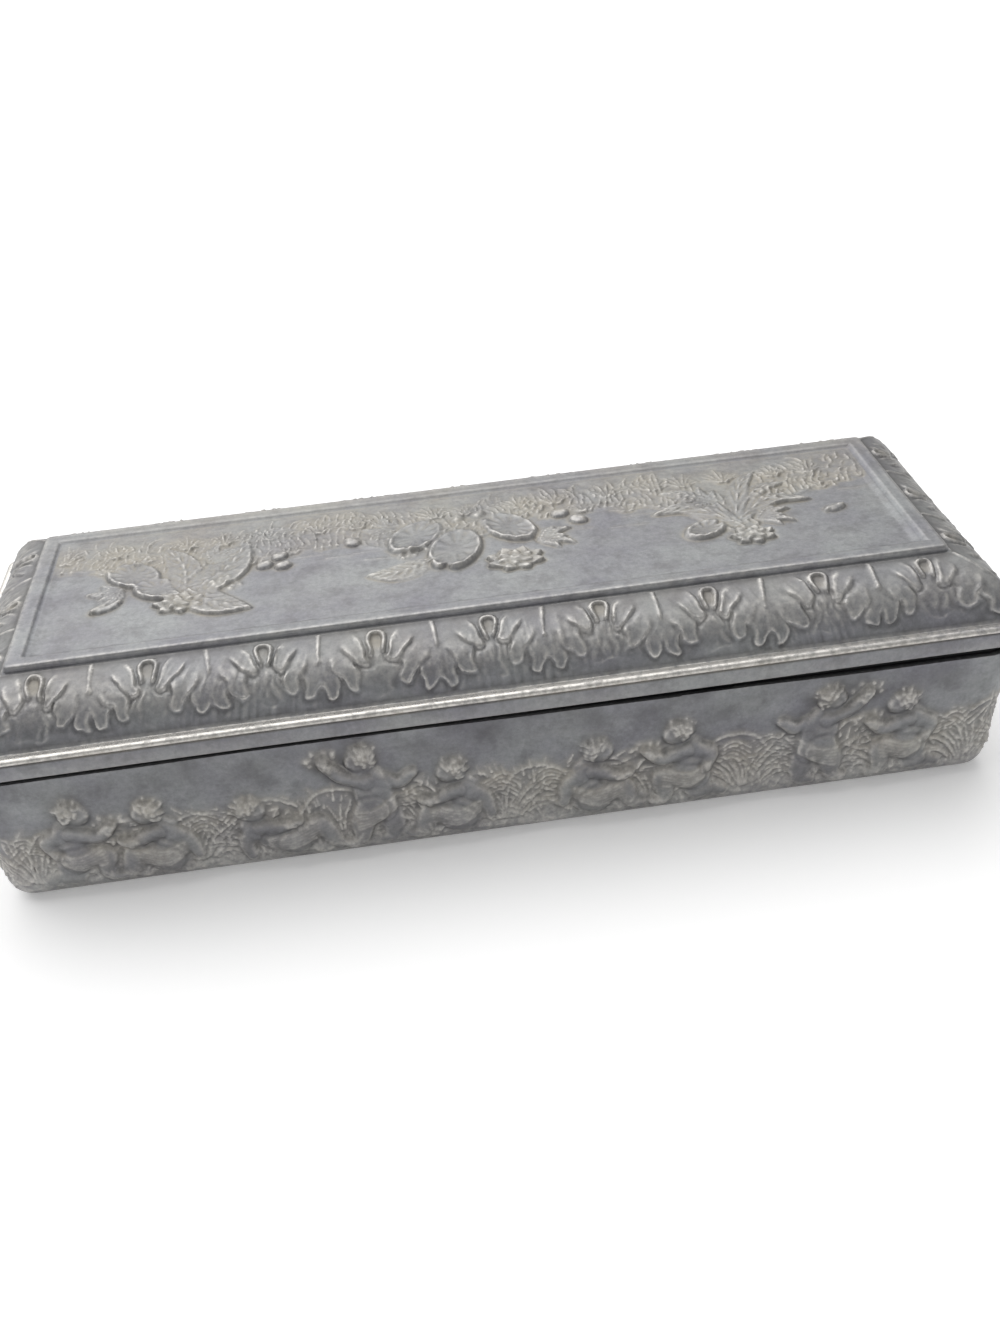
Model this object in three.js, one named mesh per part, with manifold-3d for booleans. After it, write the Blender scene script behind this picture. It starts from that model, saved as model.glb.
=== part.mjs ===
// A cast white-metal trinket box: a tapered tray, a coffered lid with a rounded border, a tube hinge at
// the back and a cloth lining. Millimetres, +Z up. The origin is the middle of the flat underside, X runs
// along the box and the front faces -Y.
import * as THREE from "three";
import { mergeVertices } from "three/addons/utils/BufferGeometryUtils.js";
import Module from "manifold-3d";

// Overall sizes. The lid's flange is the widest outline of the box, and insets are measured in from it.
const LID_LENGTH = 204;
const LID_WIDTH = 76.5;
const PARTING_HEIGHT = 32.4; // underside of the lid's flange above the table
const LID_HEIGHT = 15.9; // flange underside to the top of the frame

// Base casting.
const OVERHANG = 0.6; // flange beyond the base wall
const BASE_WALL = 3.4;
const BASE_FLOOR = 2.8;
const BASE_TAPER = 3; // how far each wall leans in on its way down
const BASE_CORNER_RADIUS = 8; // upright corners, in plan
const FOOT_RADIUS = 4.5; // rounding between the walls and the underside
const SHADOW_GAP = 1.6; // height of the step that leaves a dark line under the flange
const SHADOW_DEPTH = 1.2;

// Lid casting, from the flange up to the recessed panel.
const LID_CORNER_RADIUS = 2.4;
const FLANGE_BAND = 3.9; // upright face of the flange
const FLANGE_EDGE = 0.7; // rounding between that face and the ledge
const LEDGE_WIDTH = 2.1; // flange face to the foot of the rounded border
const BORDER_BULGE = 0.7; // 0 is a plain slope, 1 a full quarter round
const FRAME_INSET = 13.4; // flange face to the outer edge of the raised frame
const FRAME_WIDTH = 3;
const FRAME_STEP = 0.9; // the panel lies this far below the frame
const FRAME_STEP_RUN = 0.7;
const QUIRK_DEPTH = 1.2; // groove between the frame and the border
const QUIRK_WIDTH = 0.5;
const LID_RIM = 4.35; // width of the flange's underside, which rests on the base
const LID_SHELL = 2.7; // thickness of the top panel
const LID_CAVITY_RISE = 5.3; // upright part of the inside wall
const CEILING_INSET = 16;

// Tube hinges, let into a half-round seat in both castings.
const HINGE_SPREAD = 58; // middle of the box to the middle of each hinge
const KNUCKLE_RADIUS = 1.6;
const KNUCKLE_LENGTH = 8;
const KNUCKLE_GAP = 0.3; // between neighbouring knuckles
const PIN_RADIUS = 0.75;
const PIN_CLEARANCE = 0.07;
const SOLDER_GAP = 0.3; // knuckle to its seat
const HINGE_INSET = 1.2; // flange face to the hinge axis

// Cloth lining.
const LINING_THICKNESS = 1.2; // cloth over card
const LINING_DROP = 2.2; // top edge of the wall lining below the parting line
const PAD_THICKNESS = 1.7; // cloth over wadding, at the edge of a pad
const PAD_CROWN = 0.9; // how much a pad swells towards its middle
const PAD_CROWN_RUN = 16; // distance over which it swells
const FIT_GAP = 0.3;

// Relief on the castings: border leaves, pond plants on the panel and a frieze of children on the walls.
const RELIEF_ROOT = 0.7; // how far each form is let into its casting
const LONG_SIDE_LEAF_PITCH = 20.75; // from leaf to leaf
const END_LEAF_PITCH = 19.25;
const LEAF_RIB_RISE = 0.3; // above the border's mean surface
const LEAF_EDGE_RISE = 0.12;
const BANK_RISE = 0.25; // grassy bank above the panel
const BANK_LINE = 7.5; // middle of the panel to the bank, between the clumps
const BANK_LAP = 0.4; // how far the bank runs into the frame's step
const PAD_LEAF_RISE = 0.5; // round floating leaves above the panel
const LONG_LEAF_RISE = 0.55;
const FLOWER_RISE = 0.6;
const FRIEZE_FOOT = 3.6; // table to the ground that the children stand on
const FRIEZE_BAND = 2.5; // plain wall between the tallest child and the shoulder
const HEAD_RISE = 0.9; // above the wall

// Facets.
const CORNER_STEPS = 6;
const FOOT_STEPS = 5;
const BORDER_STEPS = 8;
const CAVITY_STEPS = 5;
const CROWN_STEPS = 3;
const ROUND_SIDES = 24;
const SMALLEST_RADIUS = 0.8;
const BANK_STEPS = 22;
const PLANT_SIDES = 8;
const HEAD_SIDES = 6;
const FLAT_SHARE = 0.5; // flat top of a limb or long leaf, as a share of its width
const ROOT_SHARE = 1.2; // its width where it is rooted
const END_SHARE = 0.5; // how far it runs past the ends of its path
const ROUND_FLAT_SHARE = 0.7; // flat top of a round form
const LONG_LEAF_TAPER = [0.5, 1, 0.3]; // its width at the root, the middle and the tip
const PROFILE_STEP = 0.01; // for the border's slope at a point

// A border leaf from the frame down to its tip: distance down the slope and half width.
const LEAF_OUTLINE = [
  [0.8, 7.6],
  [3.4, 8.2],
  [6.8, 7.8],
  [7.6, 6.4],
  [9.3, 5.8],
  [10.2, 4.8],
  [12, 4.1],
  [13.3, 1.6],
];

// Clumps of pond plants. at is a share of the panel's half length, and the rest is measured from the clump's
// middle: the bank's spit, pads as [x, y, both radii, turn], long leaves as a path and a half width, and a
// flower as [x, y, radius].
const CLUMPS = [
  {
    at: -0.695,
    spit: { reach: 8, width: 14 },
    pads: [
      [-9, 4, 6.2, 4.2, 2.5],
      [-3, -2.6, 5.6, 3.8, -0.4],
    ],
    leaves: [
      [[[2, -3.5], [1, 5], [-3, 13]], 3.4],
      [[[4, -4], [10, 2.5], [13.5, 12]], 4.6],
      [[[3.5, -5], [8, -10.5], [15, -13.5]], 3.9],
    ],
    flower: [1, -8.6, 4.8],
  },
  {
    at: -0.012,
    spit: { reach: 8, width: 17 },
    pads: [
      [-10, 5.6, 7, 4.6, 0.9],
      [9.4, 4.8, 6.8, 4.3, 2.2],
      [-2.4, -1.6, 8, 5.2, -1.9],
    ],
    leaves: [[[[-8.5, -5], [-14, -8], [-20, -7.6]], 2.8]],
    flower: [9, -8.2, 5.6],
  },
  {
    at: 0.624,
    spit: { reach: 15, width: 10 },
    pads: [[-6.5, -6.4, 4.6, 3.1, 0.5]],
    leaves: [
      [[[0, -5], [7, 6.2], [14, 9]], 2.3],
      [[[0, -5], [8.5, 2.2], [17, 1]], 2.3],
      [[[0, -5], [4.5, 9.2], [9, 15]], 2],
      [[[0, -5], [-6, 6.7], [-12, 10]], 2.2],
      [[[0, -5], [-7.5, 2.7], [-15, 2]], 2.1],
    ],
    flower: [2, -10.6, 4.4],
  },
];

// The children's poses, facing +X and standing on 0, at a scale of their own. Each limb has a path, its half
// widths along it and its rise above the wall in millimetres. A head is given by its middle.
const HEAD_RADIUS = 1.95;
const TALLEST = 17.35;
const POSES = {
  kneeling: {
    limbs: [
      { path: [[-4.8, 1], [-1.3, 1.8], [-0.4, 4.8]], widths: [1, 1.8, 2.2], rise: 0.8 },
      { path: [[-0.4, 4.6], [0.7, 9.8]], widths: [2.5, 2.2], rise: 1.12 },
      { path: [[0.2, 4.6], [3.6, 5], [3.4, 1.4], [4.9, 0.9]], widths: [2.2, 1.75, 1.15, 0.85], rise: 1.2 },
      { path: [[1.1, 9.8], [4, 8.6], [6.2, 10.4]], widths: [1.3, 1.15, 0.85], rise: 1.28 },
    ],
    head: [2, 13],
  },
  seated: {
    limbs: [
      { path: [[-0.6, 8.4], [-3.2, 6.2], [-4, 2.8]], widths: [1.25, 1.15, 0.85], rise: 1 },
      { path: [[0, 2.6], [-0.5, 8.4]], widths: [2.7, 2.2], rise: 1.12 },
      { path: [[0.4, 2.6], [3.9, 4.6], [5.6, 1.3], [7, 1]], widths: [2.3, 1.75, 1.1, 0.8], rise: 1.2 },
      { path: [[0.4, 8.2], [3.2, 6.8], [5, 7.2]], widths: [1.25, 1.1, 0.85], rise: 1.28 },
    ],
    head: [0.7, 11.6],
  },
  reclining: {
    limbs: [
      { path: [[-4.2, 6], [-5.8, 3.4], [-5.6, 0.9]], widths: [1.25, 1.1, 0.85], rise: 1 },
      { path: [[0.2, 2.4], [-3.9, 6.2]], widths: [2.4, 2.2], rise: 1.12 },
      { path: [[0.6, 2.4], [4.2, 5.2], [6.2, 1.6], [7.6, 1.1]], widths: [2.2, 1.7, 1.1, 0.8], rise: 1.2 },
      { path: [[-3.2, 6.2], [-0.4, 5.8], [1.9, 6.6]], widths: [1.2, 1.1, 0.8], rise: 1.28 },
    ],
    head: [-4.2, 9.5],
  },
  reaching: {
    limbs: [
      { path: [[-0.6, 12], [-3.2, 10.8], [-5.2, 12.2]], widths: [1.25, 1.1, 0.85], rise: 0.9 },
      { path: [[-0.6, 6.8], [-1.7, 3.6], [-1.5, 1.1]], widths: [2.1, 1.7, 1.1], rise: 0.97 },
      { path: [[0, 6.6], [0.5, 12]], widths: [2.6, 2.2], rise: 1.04 },
      { path: [[0.8, 6.6], [2.4, 4], [3, 1.3], [4.4, 0.9]], widths: [2.3, 1.75, 1.1, 0.85], rise: 1.14 },
      { path: [[1.1, 12], [4, 13.2], [6, 15.8]], widths: [1.3, 1.15, 0.85], rise: 0.85 },
    ],
    head: [1.1, 15.4],
  },
};
// Who stands where on each kind of wall: a share of its half run, a pose and the way it faces along the wall.
const LONG_SIDE_CHILDREN = [
  [-0.925, "kneeling", 1],
  [-0.736, "seated", -1],
  [-0.476, "reclining", 1],
  [-0.277, "reaching", -1],
  [-0.1, "seated", -1],
  [0.188, "seated", 1],
  [0.404, "kneeling", -1],
  [0.68, "reaching", 1],
  [0.89, "kneeling", -1],
];
const END_CHILDREN = [
  [-0.41, "reaching", 1],
  [0.373, "seated", -1],
];

// Heights and places worked out from the sizes above.
const SHOULDER_HEIGHT = PARTING_HEIGHT - SHADOW_GAP;
const LEDGE_HEIGHT = PARTING_HEIGHT + FLANGE_BAND + FLANGE_EDGE;
const TOP_HEIGHT = PARTING_HEIGHT + LID_HEIGHT;
const PANEL_HEIGHT = TOP_HEIGHT - FRAME_STEP;
const CEILING_HEIGHT = PANEL_HEIGHT - LID_SHELL;
const HINGE_Y = LID_WIDTH / 2 - HINGE_INSET;
const HINGE_Z = PARTING_HEIGHT - SHADOW_GAP / 2;
const HINGE_LENGTH = 3 * KNUCKLE_LENGTH + 2 * KNUCKLE_GAP;
const PANEL_INSET = FRAME_INSET + FRAME_WIDTH + FRAME_STEP_RUN;
const PANEL_HALF_LENGTH = LID_LENGTH / 2 - PANEL_INSET;
const PANEL_HALF_WIDTH = LID_WIDTH / 2 - PANEL_INSET;
const CHILD_SCALE = (SHOULDER_HEIGHT - FRIEZE_BAND - FRIEZE_FOOT) / TALLEST;

const wasm = await Module();
wasm.setup();

// One closed outline: a rounded rectangle set in from the flange's outline, at a height.
function ring(inset, height, radius) {
  const halfLength = LID_LENGTH / 2 - inset;
  const halfWidth = LID_WIDTH / 2 - inset;
  const corner = Math.max(SMALLEST_RADIUS, radius);
  const points = [];
  for (let quarter = 0; quarter < 4; quarter++) {
    const sideX = quarter === 0 || quarter === 3 ? 1 : -1;
    const sideY = quarter < 2 ? 1 : -1;
    for (let step = 0; step <= CORNER_STEPS; step++) {
      const angle = ((quarter + step / CORNER_STEPS) * Math.PI) / 2;
      points.push(
        new THREE.Vector3(
          sideX * (halfLength - corner) + corner * Math.cos(angle),
          sideY * (halfWidth - corner) + corner * Math.sin(angle),
          height,
        ),
      );
    }
  }
  return points;
}

// Faces between neighbouring rings of points. A band also joins its last ring to its first.
function stripFaces(rings, isBand) {
  const count = rings[0].length;
  const faces = [];
  const strips = isBand ? rings.length : rings.length - 1;
  for (let level = 0; level < strips; level++) {
    const low = level * count;
    const high = ((level + 1) % rings.length) * count;
    for (let i = 0; i < count; i++) {
      const next = (i + 1) % count;
      faces.push(low + i, low + next, high + next, low + i, high + next, high + i);
    }
  }
  return faces;
}

function surface(rings, faces) {
  const positions = rings.flat().flatMap((p) => [p.x, p.y, p.z]);
  const geometry = new THREE.BufferGeometry();
  geometry.setAttribute("position", new THREE.Float32BufferAttribute(positions, 3));
  geometry.setIndex(faces);
  geometry.computeVertexNormals();
  return geometry;
}

// A closed surface through a run of level rings, capped at both ends or, as a band, joined end to start.
function loft(rings, isBand = false) {
  const faces = stripFaces(rings, isBand);
  if (!isBand) {
    const last = (rings.length - 1) * rings[0].length;
    const flat = (points) => points.map((p) => new THREE.Vector2(p.x, p.y));
    for (const [a, b, c] of THREE.ShapeUtils.triangulateShape(flat(rings[0]), [])) {
      faces.push(a, c, b);
    }
    for (const [a, b, c] of THREE.ShapeUtils.triangulateShape(flat(rings.at(-1)), [])) {
      faces.push(last + a, last + b, last + c);
    }
  }
  return surface(rings, faces);
}

// A closed bar through a run of sections, each a convex outline.
function bar(sections) {
  const faces = stripFaces(sections, false);
  const count = sections[0].length;
  const last = (sections.length - 1) * count;
  for (let i = 1; i < count - 1; i++) {
    faces.push(0, i + 1, i, last, last + i, last + i + 1);
  }
  return faceOut(surface(sections, faces));
}

// Turns a closed surface so that its faces point out.
function faceOut(geometry) {
  const { index, attributes } = geometry;
  const corner = (i) => new THREE.Vector3().fromBufferAttribute(attributes.position, index.getX(i));
  let volume = 0;
  for (let i = 0; i < index.count; i += 3) {
    volume += corner(i).dot(corner(i + 1).cross(corner(i + 2)));
  }
  if (volume < 0) {
    index.array.reverse();
  }
  return geometry;
}

// A geometry as a manifold solid, and back.
function solidOf(geometry) {
  const bare = geometry.clone();
  bare.deleteAttribute("normal");
  bare.deleteAttribute("uv");
  const merged = mergeVertices(bare);
  return new wasm.Manifold(
    new wasm.Mesh({
      numProp: 3,
      vertProperties: merged.attributes.position.array,
      triVerts: new Uint32Array(merged.index.array),
    }),
  );
}

function geometryOf(solid) {
  const mesh = solid.getMesh();
  const geometry = new THREE.BufferGeometry();
  geometry.setAttribute("position", new THREE.BufferAttribute(mesh.vertProperties, 3));
  geometry.setIndex(new THREE.BufferAttribute(mesh.triVerts, 1));
  geometry.computeVertexNormals();
  return geometry;
}

// The base's outer wall leans in evenly from the shoulder down to the table.
function wallInset(height) {
  return OVERHANG + (BASE_TAPER * (SHOULDER_HEIGHT - height)) / SHOULDER_HEIGHT;
}

// Upright corners stay concentric through the wall: further in from the outer wall, the radius is smaller.
function baseRing(depth, height) {
  return ring(wallInset(height) + depth, height, BASE_CORNER_RADIUS - depth);
}

// A swelling profile from 0 to 1 both ways: share along the slope gives [share in, share up].
function bulge(share) {
  const angle = (share * Math.PI) / 2;
  const across = BORDER_BULGE * (1 - Math.cos(angle)) + (1 - BORDER_BULGE) * share;
  const up = BORDER_BULGE * Math.sin(angle) + (1 - BORDER_BULGE) * share;
  return [across, up];
}

// A point on the rounded border's profile, as [inset, height], moved out from its surface by rise.
function borderPoint(share, rise) {
  const borderWidth = FRAME_INSET - QUIRK_WIDTH - LEDGE_WIDTH;
  const borderHeight = TOP_HEIGHT - QUIRK_DEPTH - LEDGE_HEIGHT;
  const at = (s) => {
    const [across, up] = bulge(s);
    return new THREE.Vector2(LEDGE_WIDTH + borderWidth * across, LEDGE_HEIGHT + borderHeight * up);
  };
  const along = at(share + PROFILE_STEP).sub(at(share - PROFILE_STEP)).normalize();
  const point = at(share);
  return [point.x - rise * along.y, point.y + rise * along.x];
}

// The front's relief is turned about Z to each of the four sides.
function turnedToSide(geometry, side) {
  return geometry.rotateZ((side * Math.PI) / 2);
}

// One border leaf on the front or, before it is turned, an end. It hangs down the slope from the frame.
function borderLeaf(along, halfSpan) {
  let slope = 0;
  for (let step = 0; step < BORDER_STEPS; step++) {
    const [inset, height] = borderPoint(step / BORDER_STEPS, 0);
    const [nextInset, nextHeight] = borderPoint((step + 1) / BORDER_STEPS, 0);
    slope += Math.hypot(nextInset - inset, nextHeight - height);
  }
  const sections = LEAF_OUTLINE.map(([down, halfWidth]) => {
    const corner = (offset, rise) => {
      const [inset, height] = borderPoint(1 - down / slope, rise);
      return new THREE.Vector3(along + offset, inset - halfSpan, height);
    };
    return [
      corner(-halfWidth, -RELIEF_ROOT),
      corner(halfWidth, -RELIEF_ROOT),
      corner(halfWidth, LEAF_EDGE_RISE),
      corner(0, LEAF_RIB_RISE),
      corner(-halfWidth, LEAF_EDGE_RISE),
    ];
  });
  return bar(sections);
}

function borderLeaves() {
  const leaves = [];
  for (let side = 0; side < 4; side++) {
    const isEnd = side % 2 === 1;
    const pitch = isEnd ? END_LEAF_PITCH : LONG_SIDE_LEAF_PITCH;
    const halfRun = (isEnd ? LID_WIDTH : LID_LENGTH) / 2 - FRAME_INSET;
    const halfSpan = (isEnd ? LID_LENGTH : LID_WIDTH) / 2;
    for (let k = 0; k < Math.floor(halfRun / pitch); k++) {
      for (const along of [-(k + 0.5) * pitch, (k + 0.5) * pitch]) {
        leaves.push(turnedToSide(borderLeaf(along, halfSpan), side));
      }
    }
  }
  return leaves;
}

// A tapering form along a path in the XY plane, rooted below 0 and flat on top.
function limb(path, widths, rise, scale = 1) {
  const sections = path.map(([x, y], i) => {
    const before = path[Math.max(i - 1, 0)];
    const after = path[Math.min(i + 1, path.length - 1)];
    const along = new THREE.Vector2(after[0] - before[0], after[1] - before[1]).normalize();
    const ease = i === 0 ? -END_SHARE : i === path.length - 1 ? END_SHARE : 0;
    const corner = (share, height) =>
      new THREE.Vector3(
        scale * (x + widths[i] * (ease * along.x - share * along.y)),
        scale * (y + widths[i] * (ease * along.y + share * along.x)),
        height,
      );
    return [
      corner(-ROOT_SHARE, -RELIEF_ROOT),
      corner(ROOT_SHARE, -RELIEF_ROOT),
      corner(FLAT_SHARE, rise),
      corner(-FLAT_SHARE, rise),
    ];
  });
  return bar(sections);
}

// A low round form on the XY plane, rooted below 0.
function button(x, y, radiusX, radiusY, turn, rise, sides) {
  const form = new THREE.CylinderGeometry(ROUND_FLAT_SHARE, 1, rise + RELIEF_ROOT, sides);
  form.rotateX(Math.PI / 2);
  form.scale(radiusX, radiusY, 1);
  form.rotateZ(turn);
  form.translate(x, y, (rise - RELIEF_ROOT) / 2);
  return form;
}

// The bank along the panel's back edge, with a spit of it at each clump.
function bank() {
  const end = PANEL_HALF_LENGTH + BANK_LAP;
  const shore = [];
  for (let step = 0; step <= BANK_STEPS; step++) {
    const x = end * ((2 * step) / BANK_STEPS - 1);
    let y = BANK_LINE;
    for (const { at, spit } of CLUMPS) {
      y -= spit.reach * Math.exp(-(((x - at * PANEL_HALF_LENGTH) / spit.width) ** 2));
    }
    shore.push(new THREE.Vector2(x, y));
  }
  const backEdge = PANEL_HALF_WIDTH + BANK_LAP;
  const outline = [...shore, new THREE.Vector2(end, backEdge), new THREE.Vector2(-end, backEdge)];
  const form = new THREE.ExtrudeGeometry(new THREE.Shape(outline), {
    depth: BANK_RISE + RELIEF_ROOT,
    bevelEnabled: false,
  });
  return form.translate(0, 0, -RELIEF_ROOT);
}

function pondPlants() {
  const forms = [bank()];
  for (const { at, pads, leaves, flower } of CLUMPS) {
    const clump = pads.map(([x, y, radiusX, radiusY, turn]) =>
      button(x, y, radiusX, radiusY, turn, PAD_LEAF_RISE, PLANT_SIDES),
    );
    for (const [path, width] of leaves) {
      const widths = LONG_LEAF_TAPER.map((share) => share * width);
      clump.push(limb(path, widths, LONG_LEAF_RISE));
    }
    const [x, y, radius] = flower;
    clump.push(button(x, y, radius, radius, 0, FLOWER_RISE, PLANT_SIDES));
    forms.push(...clump.map((form) => form.translate(at * PANEL_HALF_LENGTH, 0, 0)));
  }
  return forms.map((form) => form.translate(0, 0, PANEL_HEIGHT));
}

// A child in the XY plane, as one solid.
function child(pose) {
  const { limbs, head } = POSES[pose];
  const [x, y] = head.map((value) => value * CHILD_SCALE);
  const radius = HEAD_RADIUS * CHILD_SCALE;
  const skull = button(x, y, radius, radius, 0, HEAD_RISE, HEAD_SIDES);
  const forms = limbs.map(({ path, widths, rise }) => limb(path, widths, rise, CHILD_SCALE));
  return geometryOf(joined(skull, forms));
}

// Where a child in the XY plane stands on the front wall or, before it is turned, an end: X runs along the
// wall, Y up it and Z out of it.
function wallPlace(along, facing, halfSpan) {
  const place = new THREE.Matrix4().makeBasis(
    new THREE.Vector3(facing, 0, 0),
    new THREE.Vector3(0, -BASE_TAPER / SHOULDER_HEIGHT, 1),
    new THREE.Vector3(0, -1, 0),
  );
  return place.setPosition(along, wallInset(FRIEZE_FOOT) - halfSpan, FRIEZE_FOOT);
}

function friezeChildren() {
  const figures = Object.fromEntries(Object.keys(POSES).map((pose) => [pose, child(pose)]));
  const children = [];
  for (let side = 0; side < 4; side++) {
    const isEnd = side % 2 === 1;
    const halfRun = (isEnd ? LID_WIDTH : LID_LENGTH) / 2 - wallInset(0) - BASE_CORNER_RADIUS;
    const halfSpan = (isEnd ? LID_LENGTH : LID_WIDTH) / 2;
    for (const [share, pose, facing] of isEnd ? END_CHILDREN : LONG_SIDE_CHILDREN) {
      const figure = figures[pose].clone().applyMatrix4(wallPlace(share * halfRun, facing, halfSpan));
      children.push(turnedToSide(faceOut(figure), side));
    }
  }
  return children;
}

// One solid of a geometry and the forms that stand on it.
function joined(geometry, forms) {
  return forms.reduce((solid, form) => solid.add(solidOf(form)), solidOf(geometry));
}

// Both hinge seats, as cylinders along X.
function cutHingeSeats(casting) {
  let solid = casting;
  for (const side of [-1, 1]) {
    const seat = new THREE.CylinderGeometry(
      KNUCKLE_RADIUS + SOLDER_GAP,
      KNUCKLE_RADIUS + SOLDER_GAP,
      HINGE_LENGTH + 2 * SOLDER_GAP,
      ROUND_SIDES,
    );
    seat.rotateZ(Math.PI / 2);
    seat.translate(side * HINGE_SPREAD, HINGE_Y, HINGE_Z);
    solid = solid.subtract(solidOf(seat));
  }
  return geometryOf(solid);
}

function baseCasting() {
  const rings = [];
  for (let step = FOOT_STEPS; step >= 0; step--) {
    const angle = ((step / FOOT_STEPS) * Math.PI) / 2;
    const depth = FOOT_RADIUS * (1 - Math.cos(angle));
    const height = FOOT_RADIUS * (1 - Math.sin(angle));
    rings.push(ring(wallInset(FOOT_RADIUS) + depth, height, BASE_CORNER_RADIUS - depth));
  }
  rings.push(baseRing(0, SHOULDER_HEIGHT));
  rings.push(baseRing(SHADOW_DEPTH, SHOULDER_HEIGHT));
  const lip = (depth) => ring(OVERHANG + depth, PARTING_HEIGHT, BASE_CORNER_RADIUS - depth);
  rings.push(lip(SHADOW_DEPTH), lip(BASE_WALL));
  rings.push(baseRing(BASE_WALL, SHOULDER_HEIGHT));
  rings.push(baseRing(BASE_WALL, BASE_FLOOR));
  return cutHingeSeats(joined(loft(rings), friezeChildren()));
}

function lidCasting() {
  const corner = (inset) => LID_CORNER_RADIUS * (1 - inset / (2 * FRAME_INSET));
  const lidRing = (inset, height) => ring(inset, height, corner(inset));
  const rings = [];
  // Inside, from the ceiling down to the flange's underside.
  const cavityFoot = PARTING_HEIGHT + LID_CAVITY_RISE;
  for (let step = CAVITY_STEPS; step >= 0; step--) {
    const [across, up] = bulge(step / CAVITY_STEPS);
    const inset = LID_RIM + (CEILING_INSET - LID_RIM) * across;
    rings.push(lidRing(inset, cavityFoot + (CEILING_HEIGHT - cavityFoot) * up));
  }
  rings.push(lidRing(LID_RIM, PARTING_HEIGHT));
  // Outside, from the flange up over the ledge.
  rings.push(lidRing(0, PARTING_HEIGHT), lidRing(0, PARTING_HEIGHT + FLANGE_BAND));
  rings.push(lidRing(FLANGE_EDGE, LEDGE_HEIGHT));
  // The rounded border, the quirk, the raised frame and the recessed panel.
  for (let step = 0; step <= BORDER_STEPS; step++) {
    rings.push(lidRing(...borderPoint(step / BORDER_STEPS, 0)));
  }
  rings.push(lidRing(FRAME_INSET, TOP_HEIGHT - QUIRK_DEPTH));
  rings.push(lidRing(FRAME_INSET, TOP_HEIGHT));
  rings.push(lidRing(FRAME_INSET + FRAME_WIDTH, TOP_HEIGHT));
  rings.push(lidRing(PANEL_INSET, PANEL_HEIGHT));
  return cutHingeSeats(joined(loft(rings), [...borderLeaves(), ...pondPlants()]));
}

// A tube knuckle about the X axis, centred on the origin.
function knuckle() {
  const section = new THREE.Shape();
  section.absarc(0, 0, KNUCKLE_RADIUS, 0, 2 * Math.PI);
  const bore = new THREE.Path();
  bore.absarc(0, 0, PIN_RADIUS + PIN_CLEARANCE, 0, 2 * Math.PI, true);
  section.holes.push(bore);
  const tube = new THREE.ExtrudeGeometry(section, {
    depth: KNUCKLE_LENGTH,
    bevelEnabled: false,
    curveSegments: ROUND_SIDES / 2,
  });
  tube.translate(0, 0, -KNUCKLE_LENGTH / 2);
  tube.rotateY(Math.PI / 2);
  return tube;
}

function hingePin() {
  const pin = new THREE.CylinderGeometry(PIN_RADIUS, PIN_RADIUS, HINGE_LENGTH, ROUND_SIDES);
  pin.rotateZ(Math.PI / 2);
  return pin;
}

// A band of cloth-covered card round the inside of the walls.
function wallLining() {
  const outer = BASE_WALL + FIT_GAP;
  const inner = outer + LINING_THICKNESS;
  const foot = BASE_FLOOR + FIT_GAP;
  const top = PARTING_HEIGHT - LINING_DROP;
  const rings = [baseRing(outer, foot), baseRing(outer, top), baseRing(inner, top), baseRing(inner, foot)];
  return loft(rings, true);
}

// A pad that swells towards its middle. Its flat side is at baseHeight and it swells along direction.
function pad(edgeInset, edgeRadius, baseHeight, direction) {
  const rings = [ring(edgeInset, baseHeight, edgeRadius)];
  for (let step = 0; step <= CROWN_STEPS; step++) {
    const share = step / CROWN_STEPS;
    const rise = PAD_THICKNESS + PAD_CROWN * Math.sin((share * Math.PI) / 2);
    const inset = edgeInset + PAD_CROWN_RUN * share;
    rings.push(ring(inset, baseHeight + direction * rise, edgeRadius - PAD_CROWN_RUN * share));
  }
  return loft(direction > 0 ? rings : rings.reverse());
}

function floorLining() {
  const depth = BASE_WALL + LINING_THICKNESS + 2 * FIT_GAP;
  const inset = wallInset(BASE_FLOOR) + depth;
  return pad(inset, BASE_CORNER_RADIUS - depth, BASE_FLOOR + FIT_GAP, 1);
}

function lidLining() {
  return pad(CEILING_INSET + FIT_GAP, LID_CORNER_RADIUS, CEILING_HEIGHT - FIT_GAP, -1);
}

const whiteMetal = { color: 0x86878a, roughness: 0.5, metalness: 0.9 };
const brass = { color: 0x8d7c52, roughness: 0.4, metalness: 1 };
const steel = { color: 0x9a9a98, roughness: 0.35, metalness: 1 };
const velvet = { color: 0x54262e, roughness: 0.95, metalness: 0 };
const satin = { color: 0xb9a98c, roughness: 0.6, metalness: 0 };

function piece(name, geometry, look) {
  const mesh = new THREE.Mesh(geometry, new THREE.MeshStandardMaterial(look));
  mesh.name = name;
  return mesh;
}

// One hinge on its own axis: a lid knuckle between two base knuckles, on a pin.
function hinge(side, sideName) {
  const group = new THREE.Group();
  group.position.set(side * HINGE_SPREAD, HINGE_Y, HINGE_Z);
  const pitch = KNUCKLE_LENGTH + KNUCKLE_GAP;
  const places = { base_knuckle_outer: side * pitch, lid_knuckle: 0, base_knuckle_inner: -side * pitch };
  for (const [part, x] of Object.entries(places)) {
    const tube = piece(`hinge_${sideName}_${part}`, knuckle(), brass);
    tube.position.x = x;
    group.add(tube);
  }
  group.add(piece(`hinge_${sideName}_pin`, hingePin(), steel));
  return group;
}

const trinketBox = new THREE.Group();
trinketBox.add(
  piece("base_casting", baseCasting(), whiteMetal),
  piece("lid_casting", lidCasting(), whiteMetal),
  piece("wall_lining", wallLining(), velvet),
  piece("floor_lining", floorLining(), velvet),
  piece("lid_lining", lidLining(), satin),
  hinge(-1, "left"),
  hinge(1, "right"),
);

export default trinketBox;
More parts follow.
